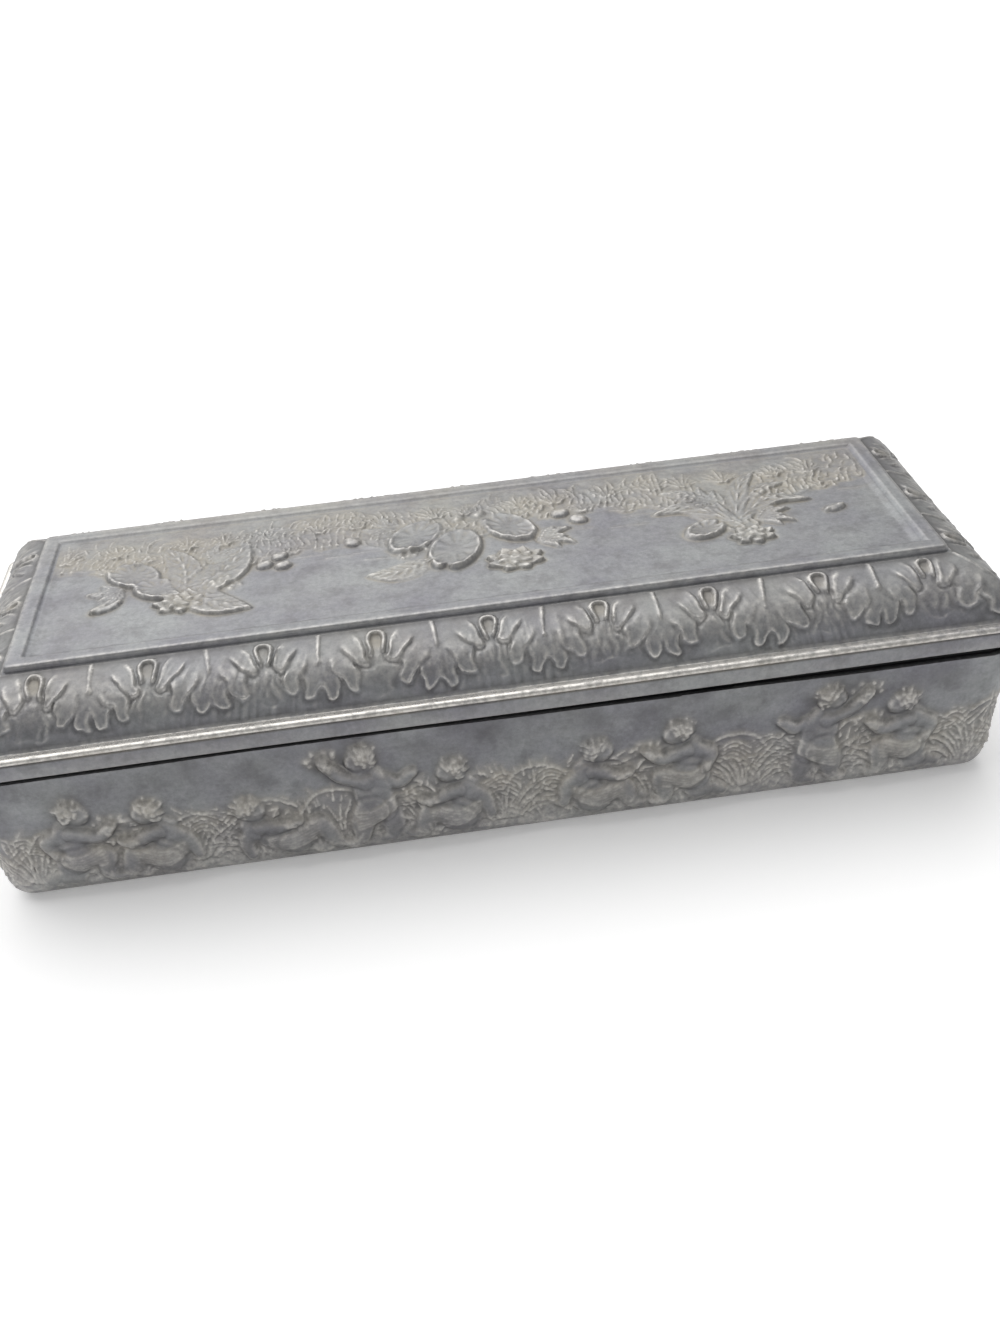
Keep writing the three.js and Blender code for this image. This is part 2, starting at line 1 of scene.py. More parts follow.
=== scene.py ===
# %% [markdown]
# # A cast trinket box
# The box is two castings in a soft grey alloy, two tube hinges and a cloth lining. The imported CAD model gives
# every place and size, and Blender adds what a casting shows: modelled relief, wear and a painted highlight on
# the crests, and dirt and painted shade in the hollows. We load the frame first, so that each piece can be
# measured against it.

# %% Load the frame
import math

import bpy
import numpy as np
from mathutils import Matrix, Vector


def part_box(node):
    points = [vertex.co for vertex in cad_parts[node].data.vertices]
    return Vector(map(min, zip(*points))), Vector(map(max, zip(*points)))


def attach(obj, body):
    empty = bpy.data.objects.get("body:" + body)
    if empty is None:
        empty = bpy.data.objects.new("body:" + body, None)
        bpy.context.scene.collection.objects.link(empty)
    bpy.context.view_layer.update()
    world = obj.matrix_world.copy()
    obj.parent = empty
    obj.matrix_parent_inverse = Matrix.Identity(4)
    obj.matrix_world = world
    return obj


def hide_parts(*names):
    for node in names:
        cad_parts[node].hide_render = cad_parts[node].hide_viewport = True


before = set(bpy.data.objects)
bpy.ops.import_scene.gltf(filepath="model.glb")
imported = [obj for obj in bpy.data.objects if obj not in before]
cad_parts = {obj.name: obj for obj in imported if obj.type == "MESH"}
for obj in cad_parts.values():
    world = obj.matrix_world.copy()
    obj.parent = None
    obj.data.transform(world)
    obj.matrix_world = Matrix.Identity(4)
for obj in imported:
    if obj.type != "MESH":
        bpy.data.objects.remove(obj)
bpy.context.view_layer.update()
MM = 0.001
print("frame nodes:", len(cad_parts))

# %% [markdown]
# ## Camera
# The photograph was taken from in front and above, with the camera tilted a little. Its place was worked
# out from the straight edges of the box, so the camera is written as turns about the box and a distance.

# %% Camera
PHOTO_LONG_SIDE = 1333
FOCAL_LENGTH_PIXELS = 1300
SENSOR = 36.0
VIEW_AZIMUTH, VIEW_ELEVATION, VIEW_ROLL = np.radians([-3.97, 34.905, -5.282])
VIEW_DISTANCE, VIEW_RIGHT, VIEW_UP = 0.28886, 0.00217, 0.01415

back = Vector((
    math.sin(VIEW_AZIMUTH) * math.cos(VIEW_ELEVATION),
    -math.cos(VIEW_AZIMUTH) * math.cos(VIEW_ELEVATION),
    math.sin(VIEW_ELEVATION),
))
level = Vector((math.cos(VIEW_AZIMUTH), math.sin(VIEW_AZIMUTH), 0))
right = math.cos(VIEW_ROLL) * level + math.sin(VIEW_ROLL) * back.cross(level)
up = back.cross(right)
camera = bpy.data.objects.new("camera", bpy.data.cameras.new("camera"))
bpy.context.scene.collection.objects.link(camera)
camera.data.sensor_width = SENSOR
camera.data.lens = SENSOR * FOCAL_LENGTH_PIXELS / PHOTO_LONG_SIDE
camera.data.clip_start = 0.01
turn = Matrix((right, up, back)).transposed().to_4x4()
camera.matrix_world = Matrix.Translation(back * VIEW_DISTANCE + right * VIEW_RIGHT + up * VIEW_UP) @ turn
bpy.context.scene.camera = camera
print("lens mm:", round(camera.data.lens, 2))

# %% [markdown]
# ## Drawing in relief
# A modeller cuts relief as heights above a ground. Here a height is a number per point of a grid, and each
# leaf, blade or limb is a stroke that tapers along a path. One helper finds how deep a point lies inside a
# stroke, and the others lay a shape on the ground: a swelling one for flesh and grass, or one with a rim for
# leaves. Height grids are quick, and give a mesh with real shape instead of a bump.

# %% Relief helpers
def smooth(value, low, high):
    """A share from 0 to 1 that eases in and out between low and high."""
    share = np.clip((value - low) / (high - low), 0, 1)
    return share * share * (3 - 2 * share)


def curve(points, steps=8):
    """A smooth path through three or more points (Catmull-Rom), as an array of points."""
    p = np.asarray(points, float)
    p = np.vstack([2 * p[0] - p[1], p, 2 * p[-1] - p[-2]])
    t = np.linspace(0, 1, steps, endpoint=False)[:, None]
    runs = []
    for a, b, c, d in zip(p[:-3], p[1:-2], p[2:-1], p[3:]):
        bent = (2 * a - 5 * b + 4 * c - d) * t**2 + (3 * b - a - 3 * c + d) * t**3
        runs.append(0.5 * (2 * b + (c - a) * t + bent))
    return np.vstack(runs + [p[-2:-1]])


def stroke(u, v, path, widths):
    """Each point's depth in a tapering stroke, its share along it, its side and the half width there."""
    path = np.asarray(path, float)
    widths = np.interp(np.linspace(0, 1, len(path)), np.linspace(0, 1, len(widths)), widths)
    depth = np.full(u.shape, -1e3)
    share = np.zeros(u.shape)
    side = np.zeros(u.shape)
    width = np.ones(u.shape)
    for k in range(len(path) - 1):
        (pu, pv), (du, dv) = path[k], path[k + 1] - path[k]
        length = math.hypot(du, dv) + 1e-9
        t = np.clip(((u - pu) * du + (v - pv) * dv) / length**2, 0, 1)
        off_u, off_v = u - pu - t * du, v - pv - t * dv
        w = widths[k] + (widths[k + 1] - widths[k]) * t
        inside = w - np.hypot(off_u, off_v)
        nearer = inside > depth
        depth = np.where(nearer, inside, depth)
        share = np.where(nearer, (k + t) / (len(path) - 1), share)
        side = np.where(nearer, (du * off_v - dv * off_u) / length / w, side)
        width = np.where(nearer, w, width)
    return depth, share, side, width


def swell(height, depth, width, top, ground=0.0):
    """A half-round shape: stems, loops and buds."""
    inside = np.clip(depth / width, 0, 1)
    shape = ground + (top - ground) * np.sqrt(np.clip(1 - (1 - inside) ** 2, 0, 1))
    return np.where(depth > 0, np.maximum(height, shape), height)


def lay(height, depth, top, edge=0.3, groove=0.1):
    """A shape laid over what is there, with a sloping edge and a slight groove round it."""
    cover = smooth(depth, -edge / 2, edge / 2)
    line = groove * np.exp(-(((depth + 0.4) / 0.3) ** 2)) * (1 - cover)
    return height * (1 - cover) + top * cover - line


def merge(height, shape, fillet):
    """The higher of two heights, with a soft fillet where they meet."""
    near = np.clip(1 - np.abs(height - shape) / fillet, 0, 1)
    return np.maximum(height, shape) + fillet * near**2 / 4


def blur(height, passes):
    """Rounds a height grid as a worn mould does."""
    for _ in range(passes):
        padded = np.pad(height, 1, mode="edge")
        beside = padded[:-2, 1:-1] + padded[2:, 1:-1] + padded[1:-1, :-2] + padded[1:-1, 2:]
        height = (beside + 4 * height) / 8
    return height


def hand_work(shape):
    """The slight unevenness, in millimetres, that a modeller's hand leaves everywhere."""
    return 0.02 * blur(rng.normal(0, 1, shape), 6) / 0.2


def tool_marks(rows, columns, bands, passes):
    """Uneven ridges about 1 high that run along a grid's columns, as a modelling tool leaves them."""
    marks = blur(rng.normal(0, 1, (bands, columns)), passes)
    at = np.linspace(0, bands - 1.001, rows)
    low = at.astype(int)
    share = smooth(at - low, 0, 1)[:, None]
    return (marks[low] * (1 - share) + marks[low + 1] * share) / marks.std()


class Relief:
    """Heights on a grid of u (columns) and v (rows), all in millimetres, with two shares at each point: film
    is the dirt that lies there, and skin is where smooth flesh shows. A shape only touches its own window."""

    def __init__(self, u, v):
        self.u, self.v = u, v
        self.height = np.zeros((len(v), len(u)))
        self.film = np.zeros((len(v), len(u)))
        self.skin = np.zeros((len(v), len(u)))

    def window(self, points, margin):
        points = np.asarray(points, float)
        low, high = points.min(0) - margin, points.max(0) + margin
        columns = slice(*np.searchsorted(self.u, [low[0], high[0]]))
        rows = slice(*np.searchsorted(self.v, [low[1], high[1]]))
        return (rows, columns), *np.meshgrid(self.u[columns], self.v[rows])

    def swell(self, path, widths, top, ground=0.0):
        at, u, v = self.window(path, max(widths) + 0.5)
        if u.size:
            depth, _, _, width = stroke(u, v, path, widths)
            self.height[at] = swell(self.height[at], depth, width, top, ground)

    def blade(self, path, widths, rise, film=0.8):
        """A thin ridge that adds to whatever it lies on. It holds a film of dirt and hides the skin."""
        at, u, v = self.window(path, max(widths) + 0.9)
        if u.size:
            depth, share, _, width = stroke(u, v, path, widths)
            inside = np.clip(depth / width, 0, 1)
            self.height[at] += rise * inside * (2 - inside) * (1 - 0.5 * share)
            self.film[at] = np.maximum(self.film[at], film * smooth(depth, -0.8, 0.1))
            self.skin[at] *= 1 - film * smooth(depth, -0.3, 0.2)

    def spot(self, at, radius, rise, film=0.0):
        """A small soft bump, or a dent where rise is below 0."""
        window, u, v = self.window([at], 2.5 * radius)
        soft = np.exp(-((u - at[0]) ** 2 + (v - at[1]) ** 2) / radius**2)
        self.height[window] += rise * soft
        self.film[window] = np.maximum(self.film[window], film * soft)
        self.skin[window] *= 1 - film * soft


rng = np.random.default_rng(7)
print("relief helpers ready")

# %% [markdown]
# ## The lid's outline
# The lid steps in from an upright flange to a ledge, a rounded border, a narrow groove, a raised frame and a
# sunk panel. In CAD it is a pile of rounded rectangles. The same pile, with many more points to each ring,
# can carry relief: each point of the border moves along its own outward direction.

# %% Lid rings
lid_low, lid_high = (np.array(corner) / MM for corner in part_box("lid_casting"))
HALF_LENGTH, HALF_WIDTH = lid_high[0], lid_high[1]
PARTING, TOP = lid_low[2], lid_high[2]
FINE_COLUMNS = (760, 240)
LEDGE_HEIGHT = PARTING + 4.6
FRAME_INSET, FRAME_WIDTH, FRAME_STEP, FRAME_STEP_RUN = 13.4, 3.0, 0.9, 0.7
QUIRK_DEPTH, QUIRK_WIDTH = 1.2, 0.5
LEDGE_WIDTH = 2.1
BORDER_BULGE = 0.7
LID_CORNER, SHARPEST_CORNER, SHARPENING_RUN = 2.4, 0.3, 19.6
PANEL_INSET = FRAME_INSET + FRAME_WIDTH + FRAME_STEP_RUN


def outline(inset, radius, half_length, half_width, columns=FINE_COLUMNS):
    """A rounded rectangle in plan, side by side from the front and counterclockwise. Rows of the result: x,
    y, the outward direction, the distance from the side's middle, half the side's run and its number."""
    parts = []
    for side in range(4):
        is_long = side % 2 == 0
        half, other = (half_length, half_width) if is_long else (half_width, half_length)
        count = columns[side % 2]
        run = half - inset - radius
        reach = run + radius * math.pi / 4
        c = np.linspace(-reach, reach, count, endpoint=False)
        angle = np.sign(c) * np.clip(np.abs(c) - run, 0, None) / radius
        a = np.clip(c, -run, run) + radius * np.sin(angle)
        b = other - inset - radius + radius * np.cos(angle)
        ca, sa = [(1, 0), (0, 1), (-1, 0), (0, -1)][side]
        out_a, out_b = np.sin(angle), np.cos(angle)
        parts.append([a * ca + b * sa, a * sa - b * ca, out_a * ca + out_b * sa, out_a * sa - out_b * ca,
                      c, np.full(count, reach), np.full(count, side)])
    return np.hstack(parts)


def lid_radius(inset):
    """The lid's corners sharpen towards the panel."""
    return max(SHARPEST_CORNER, LID_CORNER * (1 - inset / SHARPENING_RUN))


def bulge(share):
    """The CAD border's profile: shares in and up for a share of the way along it."""
    angle = share * math.pi / 2
    across = BORDER_BULGE * (1 - np.cos(angle)) + (1 - BORDER_BULGE) * share
    return across, BORDER_BULGE * np.sin(angle) + (1 - BORDER_BULGE) * share


BORDER_ROWS = 62
across, rise = bulge(np.linspace(0, 1, BORDER_ROWS))
border_inset = LEDGE_WIDTH + (FRAME_INSET - QUIRK_WIDTH - LEDGE_WIDTH) * across
border_z = LEDGE_HEIGHT + (TOP - QUIRK_DEPTH - LEDGE_HEIGHT) * rise
step = np.hypot(np.gradient(border_inset), np.gradient(border_z))
border_out, border_up = np.gradient(border_z) / step, np.gradient(border_inset) / step
border_run = np.concatenate([[0], np.cumsum(np.hypot(np.diff(border_inset), np.diff(border_z)))])
border_down = border_run[-1] - border_run
print("border slope mm:", round(border_run[-1], 2))

# %% [markdown]
# ## The acanthus border
# Leaves like these are an old pattern. A broad leaf hangs between two looped eyes, its tongues step down
# from the eyes to two tips beside the rib, and a fluted fan shows under each eye. The leaf is one soft
# surface, and only the ends of its tongues have a thin turned rim, worn away in places. Half a unit is drawn
# once and mirrored along the side, a little unevenly as by hand. Beyond the last eye the half unit is
# stretched, so that one leaf wraps each corner.

# %% Acanthus unit
UNIT = 20.5
RIB = UNIT / 2
LONG_PITCH, END_PITCH = 20.75, 19.25
LONG_EYES, END_EYES = 4, 1  # on each hand of a side's middle eye
EYE_RADIUS, EYE_DOWN, EYE_STRETCH = 1.2, 2.9, 1.5
# Each tongue: where it leaves the rib, a point that it bends through, its tip, its half widths, its height
# and the height of the rim round its end.
LEAF_TONGUES = [
    ((9.7, 4.6), (9.0, 8.6), (8.3, 12.3), (1.5, 2.0, 1.05), 0.1, 0.3),
    ((7.8, 2.8), (5.9, 7.0), (4.5, 10.7), (1.6, 2.1, 1.0), 0.15, 0.34),
    ((6.2, 0.8), (4.2, 3.4), (2.6, 6.5), (1.4, 1.8, 1.0), 0.26, 0.38),
]
EYE_LOOP = [(0.0, 1.1), (0.85, 1.3), (1.4, 2.05), (1.38, 3.1), (1.08, 4.2), (0.8, 5.3)]


def leaf_tongue(height, x, t, kept, root, bend, tip, widths, top, rim):
    """A cupped tongue that grows out of the leaf, with a thin turned rim round its end where it is kept."""
    depth, share, side, _ = stroke(x, t, curve([root, bend, tip], 6), widths)
    side = np.clip(side, -1, 1)
    end = smooth(share, 0.2, 0.6)
    edge = rim * kept * np.exp(-(((depth - 0.18) / 0.16) ** 2)) * end
    flutes = 0.03 * np.cos(3 * math.pi * side)
    cover = smooth(depth, -0.3, 0.4) * smooth(share, 0.1, 0.6)
    under = 0.5 * rim * np.exp(-(((depth + 0.45) / 0.45) ** 2)) * (depth < 0) * end
    return height * (1 - cover) + (top + 0.12 * (side**2 - 0.7) + edge + flutes) * cover - under


def eye_depth(x, t):
    """How deep a point lies inside an eye."""
    return EYE_RADIUS - np.hypot(x, (t - EYE_DOWN) / EYE_STRETCH)


def acanthus(x, t, kept):
    """Heights of half a unit: x from an eye to the rib between two eyes, t down from the frame."""
    spread = np.interp(t, [4.0, 14.0], [1.3, 5.6])
    flutes = 0.11 * kept * np.cos(5.2 * math.pi * x / spread)
    flutes = flutes * smooth(t, 4.6, 7) * (1 - smooth(t, 11.5, 13.4))
    fan_end = 13.6 - 0.08 * x**2
    lip = 0.16 * kept * np.exp(-(((fan_end - t - 0.3) / 0.26) ** 2)) * (1 - smooth(x, 1.2, 3.0))
    height = lay(-0.2 - 0.08 * smooth(t, 10, 14), fan_end - t, flutes + lip - 0.12, 2.4, 0)
    leaf_end = np.interp(x, [0, 1.5, 3.6, 6.0, 8.6, RIB], [4.7, 4.5, 5.2, 7.4, 9.6, 10.6])
    height = lay(height, leaf_end - t, 0.0, 1.8, 0)
    for tongue in LEAF_TONGUES:
        height = leaf_tongue(height, x, t, kept, *tongue)
    depth, _, _, width = stroke(x, t, [(RIB, 0.3), (RIB, 3), (RIB, 6.5)], (0.5, 0.42, 0.25))
    height = swell(height, depth, width, 0.3, 0.0)
    height = lay(height, eye_depth(x, t), -0.16, 0.7, 0)
    depth, _, _, width = stroke(x, t, curve(EYE_LOOP, 4), (0.44, 0.44, 0.36))
    return swell(height, depth, width, 0.5, -0.1) - 0.14 * (1 - smooth(t, 3, 8))


def border_relief(rings):
    """Heights and film on the border's rings, from each ring's distance along its side."""
    c, reach, side = (np.array([ring[k] for ring in rings]) for k in (4, 5, 6))
    down = np.repeat(border_down[:, None], c.shape[1], axis=1)
    is_long = side % 2 == 0
    pitch = np.where(is_long, LONG_PITCH, END_PITCH)
    last_eye = np.where(is_long, LONG_EYES, END_EYES) * pitch
    along = c + 0.55 * np.sin(c / 6.3 + 2 * side) * np.sin(down / 4.7)
    unit = along / pitch
    past = np.clip((np.abs(c) - last_eye) / (reach - last_eye), 0, 1)
    from_eye = np.where(np.abs(c) > last_eye, past / 2, np.abs(unit - np.round(unit)))
    uneven = down + (0.4 * np.sin(c / 9.7 + side) + 0.25 * np.sin(c / 3.1)) * smooth(down, 0, 4)
    wobble = 0.4 * np.sin(c / 0.8 + 1.5 * np.sin(down / 1.7 + c / 11)) * smooth(down, 4, 7)
    uneven = uneven + wobble
    x = np.abs(from_eye * UNIT + 0.35 * np.sin(down / 0.75 + c / 2.3) * smooth(down, 4, 7))
    kept = 0.55 + 0.55 * np.sin(c / 1.6 + 1.6 * np.sin(c / 7.3 + side)) + 0.5 * np.sin(down / 1.1 + c / 5)
    kept = np.clip(kept, 0, 1.35)
    leaves = blur(acanthus(x, uneven, kept), 1)
    marks = tool_marks(*c.shape, 6, 4) * (0.6 + 0.4 * np.sin(c / 8.3 + 1)) * smooth(down, 1, 4)
    fade = smooth(down, 0, 0.7) * smooth(border_down[0] - down, 0, 0.9)
    film = 0.28 * (1 - smooth(down, 5, 12)) + 0.9 * smooth(eye_depth(x, uneven), -0.1, 0.4)
    return (leaves + 0.045 * marks) * fade, film


border_rings = [outline(inset, lid_radius(inset), HALF_LENGTH, HALF_WIDTH) for inset in border_inset]
border_height, border_film = border_relief(border_rings)
print("border relief mm:", round(border_height.min(), 2), round(border_height.max(), 2))

# %% [markdown]
# ## The panel's picture
# The sunk panel holds a quiet pond: a grassy bank along the back, three clumps of water plants and open water
# in front. The plants are drawn from a few kinds of stroke, each with its own top: a veined leaf, a round pad
# with a curled rim, petals and buds. Grass is a fan of thin ridges that add to the ground.

# %% Plant strokes
def lay_stroke(field, path, widths, top, edge=0.8, groove=0.04, film=0.0):
    """Lays a stroke whose top is worked out from the share along it and the side."""
    at, u, v = field.window(path, max(widths) + 1.5)
    if u.size:
        depth, share, side, _ = stroke(u, v, path, widths)
        field.height[at] = lay(field.height[at], depth, top(share, np.clip(side, -1, 1)), edge, groove)
        inside = smooth(depth, -0.5, 0.3)
        field.film[at] = field.film[at] * (1 - inside) + film * inside


def veined_leaf(field, path, half_width, level, tilt=0.16):
    """A pointed leaf that rises from its root and lies a little on its side."""
    widths = half_width * np.sin(math.pi * np.linspace(0.1, 0.97, 9) ** 0.8)

    def top(share, side):
        rib = 0.16 * np.exp(-((side / 0.12) ** 2))
        veins = 0.09 * np.cos(2 * math.pi * (6 * share - 1.6 * np.abs(side))) * (1 - side**2)
        rim = 0.12 * smooth(np.abs(side), 0.7, 0.92) * smooth(share, 0.3, 0.8)
        return level * (0.35 + share * (1.5 - 0.9 * share)) - tilt * side + rib + veins + rim

    lay_stroke(field, curve(path), widths, top, film=0.35)


def lily_pad(field, at, radii, angle, level):
    """A round leaf seen aslant: its front edge is high and curled, its back edge runs into the ground."""
    window, u, v = field.window([at], max(radii) + 1.5)
    cos, sin = math.cos(angle), math.sin(angle)
    a = ((u - at[0]) * cos + (v - at[1]) * sin) / radii[0]
    b = ((v - at[1]) * cos - (u - at[0]) * sin) / radii[1]
    reach, spin = np.hypot(a, b), np.arctan2(b, a)
    back = np.clip((v - at[1]) / max(radii), -1, 1)
    edge = (1 - reach) * min(radii)
    depth = edge - 1.2 * np.exp(-((spin / 0.22) ** 2)) * smooth(reach, 0.1, 0.5)
    rim = (0.16 - 0.08 * back) * np.exp(-(((edge - 0.45) / 0.4) ** 2))
    folds = 0.07 * np.cos(11 * spin + 1 + np.sin(3 * reach)) * smooth(reach, 0.15, 0.7)
    cup = 0.3 * reach**2 - 0.12
    top = level * (0.8 - 0.4 * back) + cup + rim + folds
    field.height[window] = lay(field.height[window], depth, top, 0.9, 0.04)
    inside = smooth(depth, -0.5, 0.3)
    field.film[window] = field.film[window] * (1 - inside) + 0.2 * inside


def blossom(field, at, size, level, petals=7, squash=0.7):
    """An open flower: two rings of petals round a small boss."""
    for ring_size, count, lift in ((1.0, petals, 0.0), (0.62, petals - 2, 0.14)):
        for k in range(count):
            angle = 2 * math.pi * (k + 0.3 * lift) / count + 0.4
            reach = ring_size * size
            tip = (at[0] + reach * math.cos(angle), at[1] + reach * squash * math.sin(angle))
            half = 0.3 * reach
            lay_stroke(field, np.linspace(at, tip, 6), (0.4 * half, half, 0.9 * half, 0.2 * half),
                       lambda share, side: level + lift - 0.22 + 0.24 * (1 - side**2) + 0.2 * share,
                       edge=0.3, groove=0.1, film=0.6)
    field.swell([at, (at[0] + 0.1, at[1])], (0.22 * size,), level + 0.3, level)
    for k in range(7):
        angle = 2 * math.pi * k / 7
        seed = (at[0] + 0.17 * size * math.cos(angle), at[1] + 0.12 * size * math.sin(angle))
        field.spot(seed, 0.35, 0.16, 0.8)


def bud(field, at, tip, size, level):
    path = np.linspace(at, tip, 5)
    field.swell(path, (0.5 * size, size, 0.95 * size, 0.35 * size), level)
    field.blade(path, (0.2, 0.16), 0.1)


def berries(field, at, count, spread, rise=0.34):
    """A loose cluster of small round heads."""
    for k in range(count):
        angle, reach = 2.4 * k, spread * math.sqrt((k + 0.5) / count)
        place = (at[0] + reach * math.cos(angle), at[1] + 0.75 * reach * math.sin(angle))
        field.spot(place, rng.uniform(0.45, 0.7), rise * rng.uniform(0.6, 1.2), 0.9)


def leaf_spray(field, at, first, last, count, length, level):
    """Small pointed leaves that spread from one point between two angles."""
    for k, angle in enumerate(np.linspace(first, last, count)):
        reach = length * (0.8 + 0.3 * (k % 2))
        mid = (at[0] + 0.5 * reach * math.cos(angle + 0.2), at[1] + 0.5 * reach * math.sin(angle + 0.2))
        tip = (at[0] + reach * math.cos(angle), at[1] + reach * math.sin(angle))
        veined_leaf(field, [at, mid, tip], 0.2 * length, level + 0.06 * (k % 2), 0.1)


def grass_fan(field, at, length, count, first, last, width=0.3, rise=0.22):
    """Blades that spread from one root, from the first angle off the upright to the last, and droop."""
    widths = (width, 0.9 * width, 0.4 * width)
    for share in np.linspace(0, 1, count):
        angle = first + (last - first) * share + rng.normal(0, 0.03)
        reach = length * (0.7 + 0.3 * math.sin(math.pi * share)) * rng.uniform(0.75, 1.1)
        shift = 0.36 * (share - 0.5) * length * np.sign(last - first)
        root = (at[0] + shift, at[1] + rng.uniform(0, 0.08) * length)
        mid = (root[0] + 0.5 * reach * math.sin(0.75 * angle), root[1] + 0.5 * reach * math.cos(0.75 * angle))
        end = (mid[0] + 0.5 * reach * math.sin(1.35 * angle), mid[1] + 0.5 * reach * math.cos(1.35 * angle))
        field.blade(curve([root, mid, end], 4), widths, rise * rng.uniform(0.7, 1.1))


print("plant strokes ready")

# %% Pond ground
PANEL_LENGTH, PANEL_WIDTH = HALF_LENGTH - PANEL_INSET, HALF_WIDTH - PANEL_INSET
PANEL_BOLDNESS = 1.3
panel = Relief(np.linspace(-PANEL_LENGTH, PANEL_LENGTH, FINE_COLUMNS[0] + 1),
               np.linspace(-PANEL_WIDTH, PANEL_WIDTH, FINE_COLUMNS[1] + 1))
px, py = np.meshgrid(panel.u, panel.v)


def shore(x):
    """Where the bank meets the water, across the panel."""
    line = 7.5 + 1.6 * np.sin(x / 15 + 0.6) + 0.9 * np.sin(x / 6.1) + 0.4 * np.sin(x / 2.3)
    for middle, reach, width in ((-58, 8, 14), (-3, 8, 17), (53, 15, 10)):
        line = line - reach * np.exp(-(((x - middle) / width) ** 2))
    return line


from_shore = py - shore(px)
bank = 0.12 + 0.16 * smooth(from_shore, 0, 7) + 0.03 * np.sin(px / 2.1 + np.sin(py)) * np.sin(py / 1.3)
panel.height = lay(panel.height, from_shore, bank + 0.1 * np.exp(-((from_shore - 0.5) / 0.5) ** 2), 1.4, 0.03)
panel.film = 0.45 * smooth(from_shore, -0.5, 1.5)
for _ in range(26):
    x, y = rng.uniform(-80, 80), rng.uniform(-1, 6)
    if y < shore(x) - 1:
        ripple = [(x, y), (x + 3, y + rng.normal(0, 0.2)), (x + rng.uniform(5, 8), y)]
        panel.blade(ripple, (0.3, 0.16), 0.07, 0.2)
# Rows of short grass that lean together, with a taller fan here and there.
for row in range(6):
    for x in np.arange(-83, 84, 1.4) + rng.normal(0, 0.25, 120):
        y = shore(x) + 0.5 + 2.5 * row + 0.7 * math.sin(x / 3.3 + row) + rng.normal(0, 0.4)
        if y < 17.5 and rng.uniform() < 0.88:
            lean = 0.6 * math.sin(x / 13 + 1.3 * row) + 0.25 + rng.normal(0, 0.22)
            reach = rng.uniform(2.0, 4.2)
            mid = (x + 0.5 * reach * math.sin(0.6 * lean), y + 0.5 * reach)
            blade = curve([(x, y), mid, (x + reach * math.sin(lean), y + reach * math.cos(lean))], 3)
            panel.blade(blade, (0.34, 0.32, 0.12), rng.uniform(0.12, 0.26), 0.75)
for x in np.arange(-78, 80, 9.0):
    grass_fan(panel, (x + rng.normal(0, 2), 11.5), 6.0, 8, -0.9, 0.9, 0.32, 0.26)
print("bank height mm:", round(panel.height.max(), 2))

# %% Pond plants
# Left clump: pads with buds, and long leaves to the right of them.
lily_pad(panel, (-68, 4.0), (6.2, 4.2), 2.5, 0.4)
lily_pad(panel, (-62, -2.6), (5.6, 3.8), -0.4, 0.5)
veined_leaf(panel, [(-57, -3.5), (-58, 5), (-62, 13)], 3.4, 0.46)
veined_leaf(panel, [(-55, -4), (-49, 2.5), (-45.5, 12)], 4.6, 0.48)
veined_leaf(panel, [(-55.5, -5), (-51, -10.5), (-44, -13.5)], 3.9, 0.5)
bud(panel, (-70, -5.5), (-74.5, -8.4), 1.9, 0.75)
leaf_spray(panel, (-52, 6), 0.2, 1.9, 5, 6.5, 0.4)
leaf_spray(panel, (-70, -1), 2.6, 4.4, 4, 6.0, 0.36)
berries(panel, (-49.5, -3.6), 14, 3.2)
berries(panel, (-66.5, 9.4), 10, 2.6)
blossom(panel, (-58, -8.6), 4.8, 0.42)
for x, y in ((-42.5, 1.4), (-39.6, 4.2), (-38.8, 0.4)):
    bud(panel, (x, y), (x + 2, y + 0.9), 1.5, 0.75)
# Middle clump: overlapping pads with an open flower in front.
leaf_spray(panel, (-15, 9.5), 1.5, 3.4, 5, 6.0, 0.4)
leaf_spray(panel, (14, -1.5), -0.9, 0.9, 5, 6.5, 0.42)
lily_pad(panel, (-11, 5.6), (7.0, 4.6), 0.9, 0.4)
lily_pad(panel, (8.4, 4.8), (6.8, 4.3), 2.2, 0.42)
lily_pad(panel, (-3.4, -1.6), (8.0, 5.2), -1.9, 0.54)
veined_leaf(panel, [(-9.5, -5), (-15, -8), (-21, -7.6)], 2.8, 0.46)
berries(panel, (13.5, 10.4), 12, 3.0)
berries(panel, (-13, -0.8), 9, 2.2)
blossom(panel, (8, -8.2), 5.6, 0.44, 8)
for x, y, turned in (
    (-2.2, 9.4, 1.3), (1.8, 10.4, 0.8), (18.2, 7.4, 0.2), (21.6, 4.6, -0.4), (-23, 6.0, 2.4),
):
    bud(panel, (x, y), (x + 2.3 * math.cos(turned), y + 2.3 * math.sin(turned)), 1.7, 0.8)
# Right clump: a spit of bank with arching leaves and a low flower at its end.
for tip, width in (((67, 9), 2.3), ((70, 1), 2.3), ((62, 15), 2.0), ((41, 10), 2.2), ((38, 2), 2.1)):
    middle = ((53 + tip[0]) / 2, (-3 + tip[1]) / 2 + 3.2)
    veined_leaf(panel, [(53, -5), middle, tip], width, 0.46 + 0.04 * width)
leaf_spray(panel, (50, 4), 1.2, 3.2, 5, 6.5, 0.44)
leaf_spray(panel, (58, -4), -0.8, 0.7, 5, 6.5, 0.44)
berries(panel, (62, 4.5), 14, 3.4)
berries(panel, (45, 6.5), 10, 2.6)
lily_pad(panel, (46.5, -6.4), (4.6, 3.1), 0.5, 0.46)
blossom(panel, (55, -10.6), 4.4, 0.44, 7)
bud(panel, (72, -4.5), (75.6, -3.2), 1.5, 0.6)
for x, y in ((-74, 6), (-36, 5), (24, 7), (33, 5), (74, 5)):
    grass_fan(panel, (x, y), 4.5, 7, -1.0, 1.0, 0.3, 0.22)
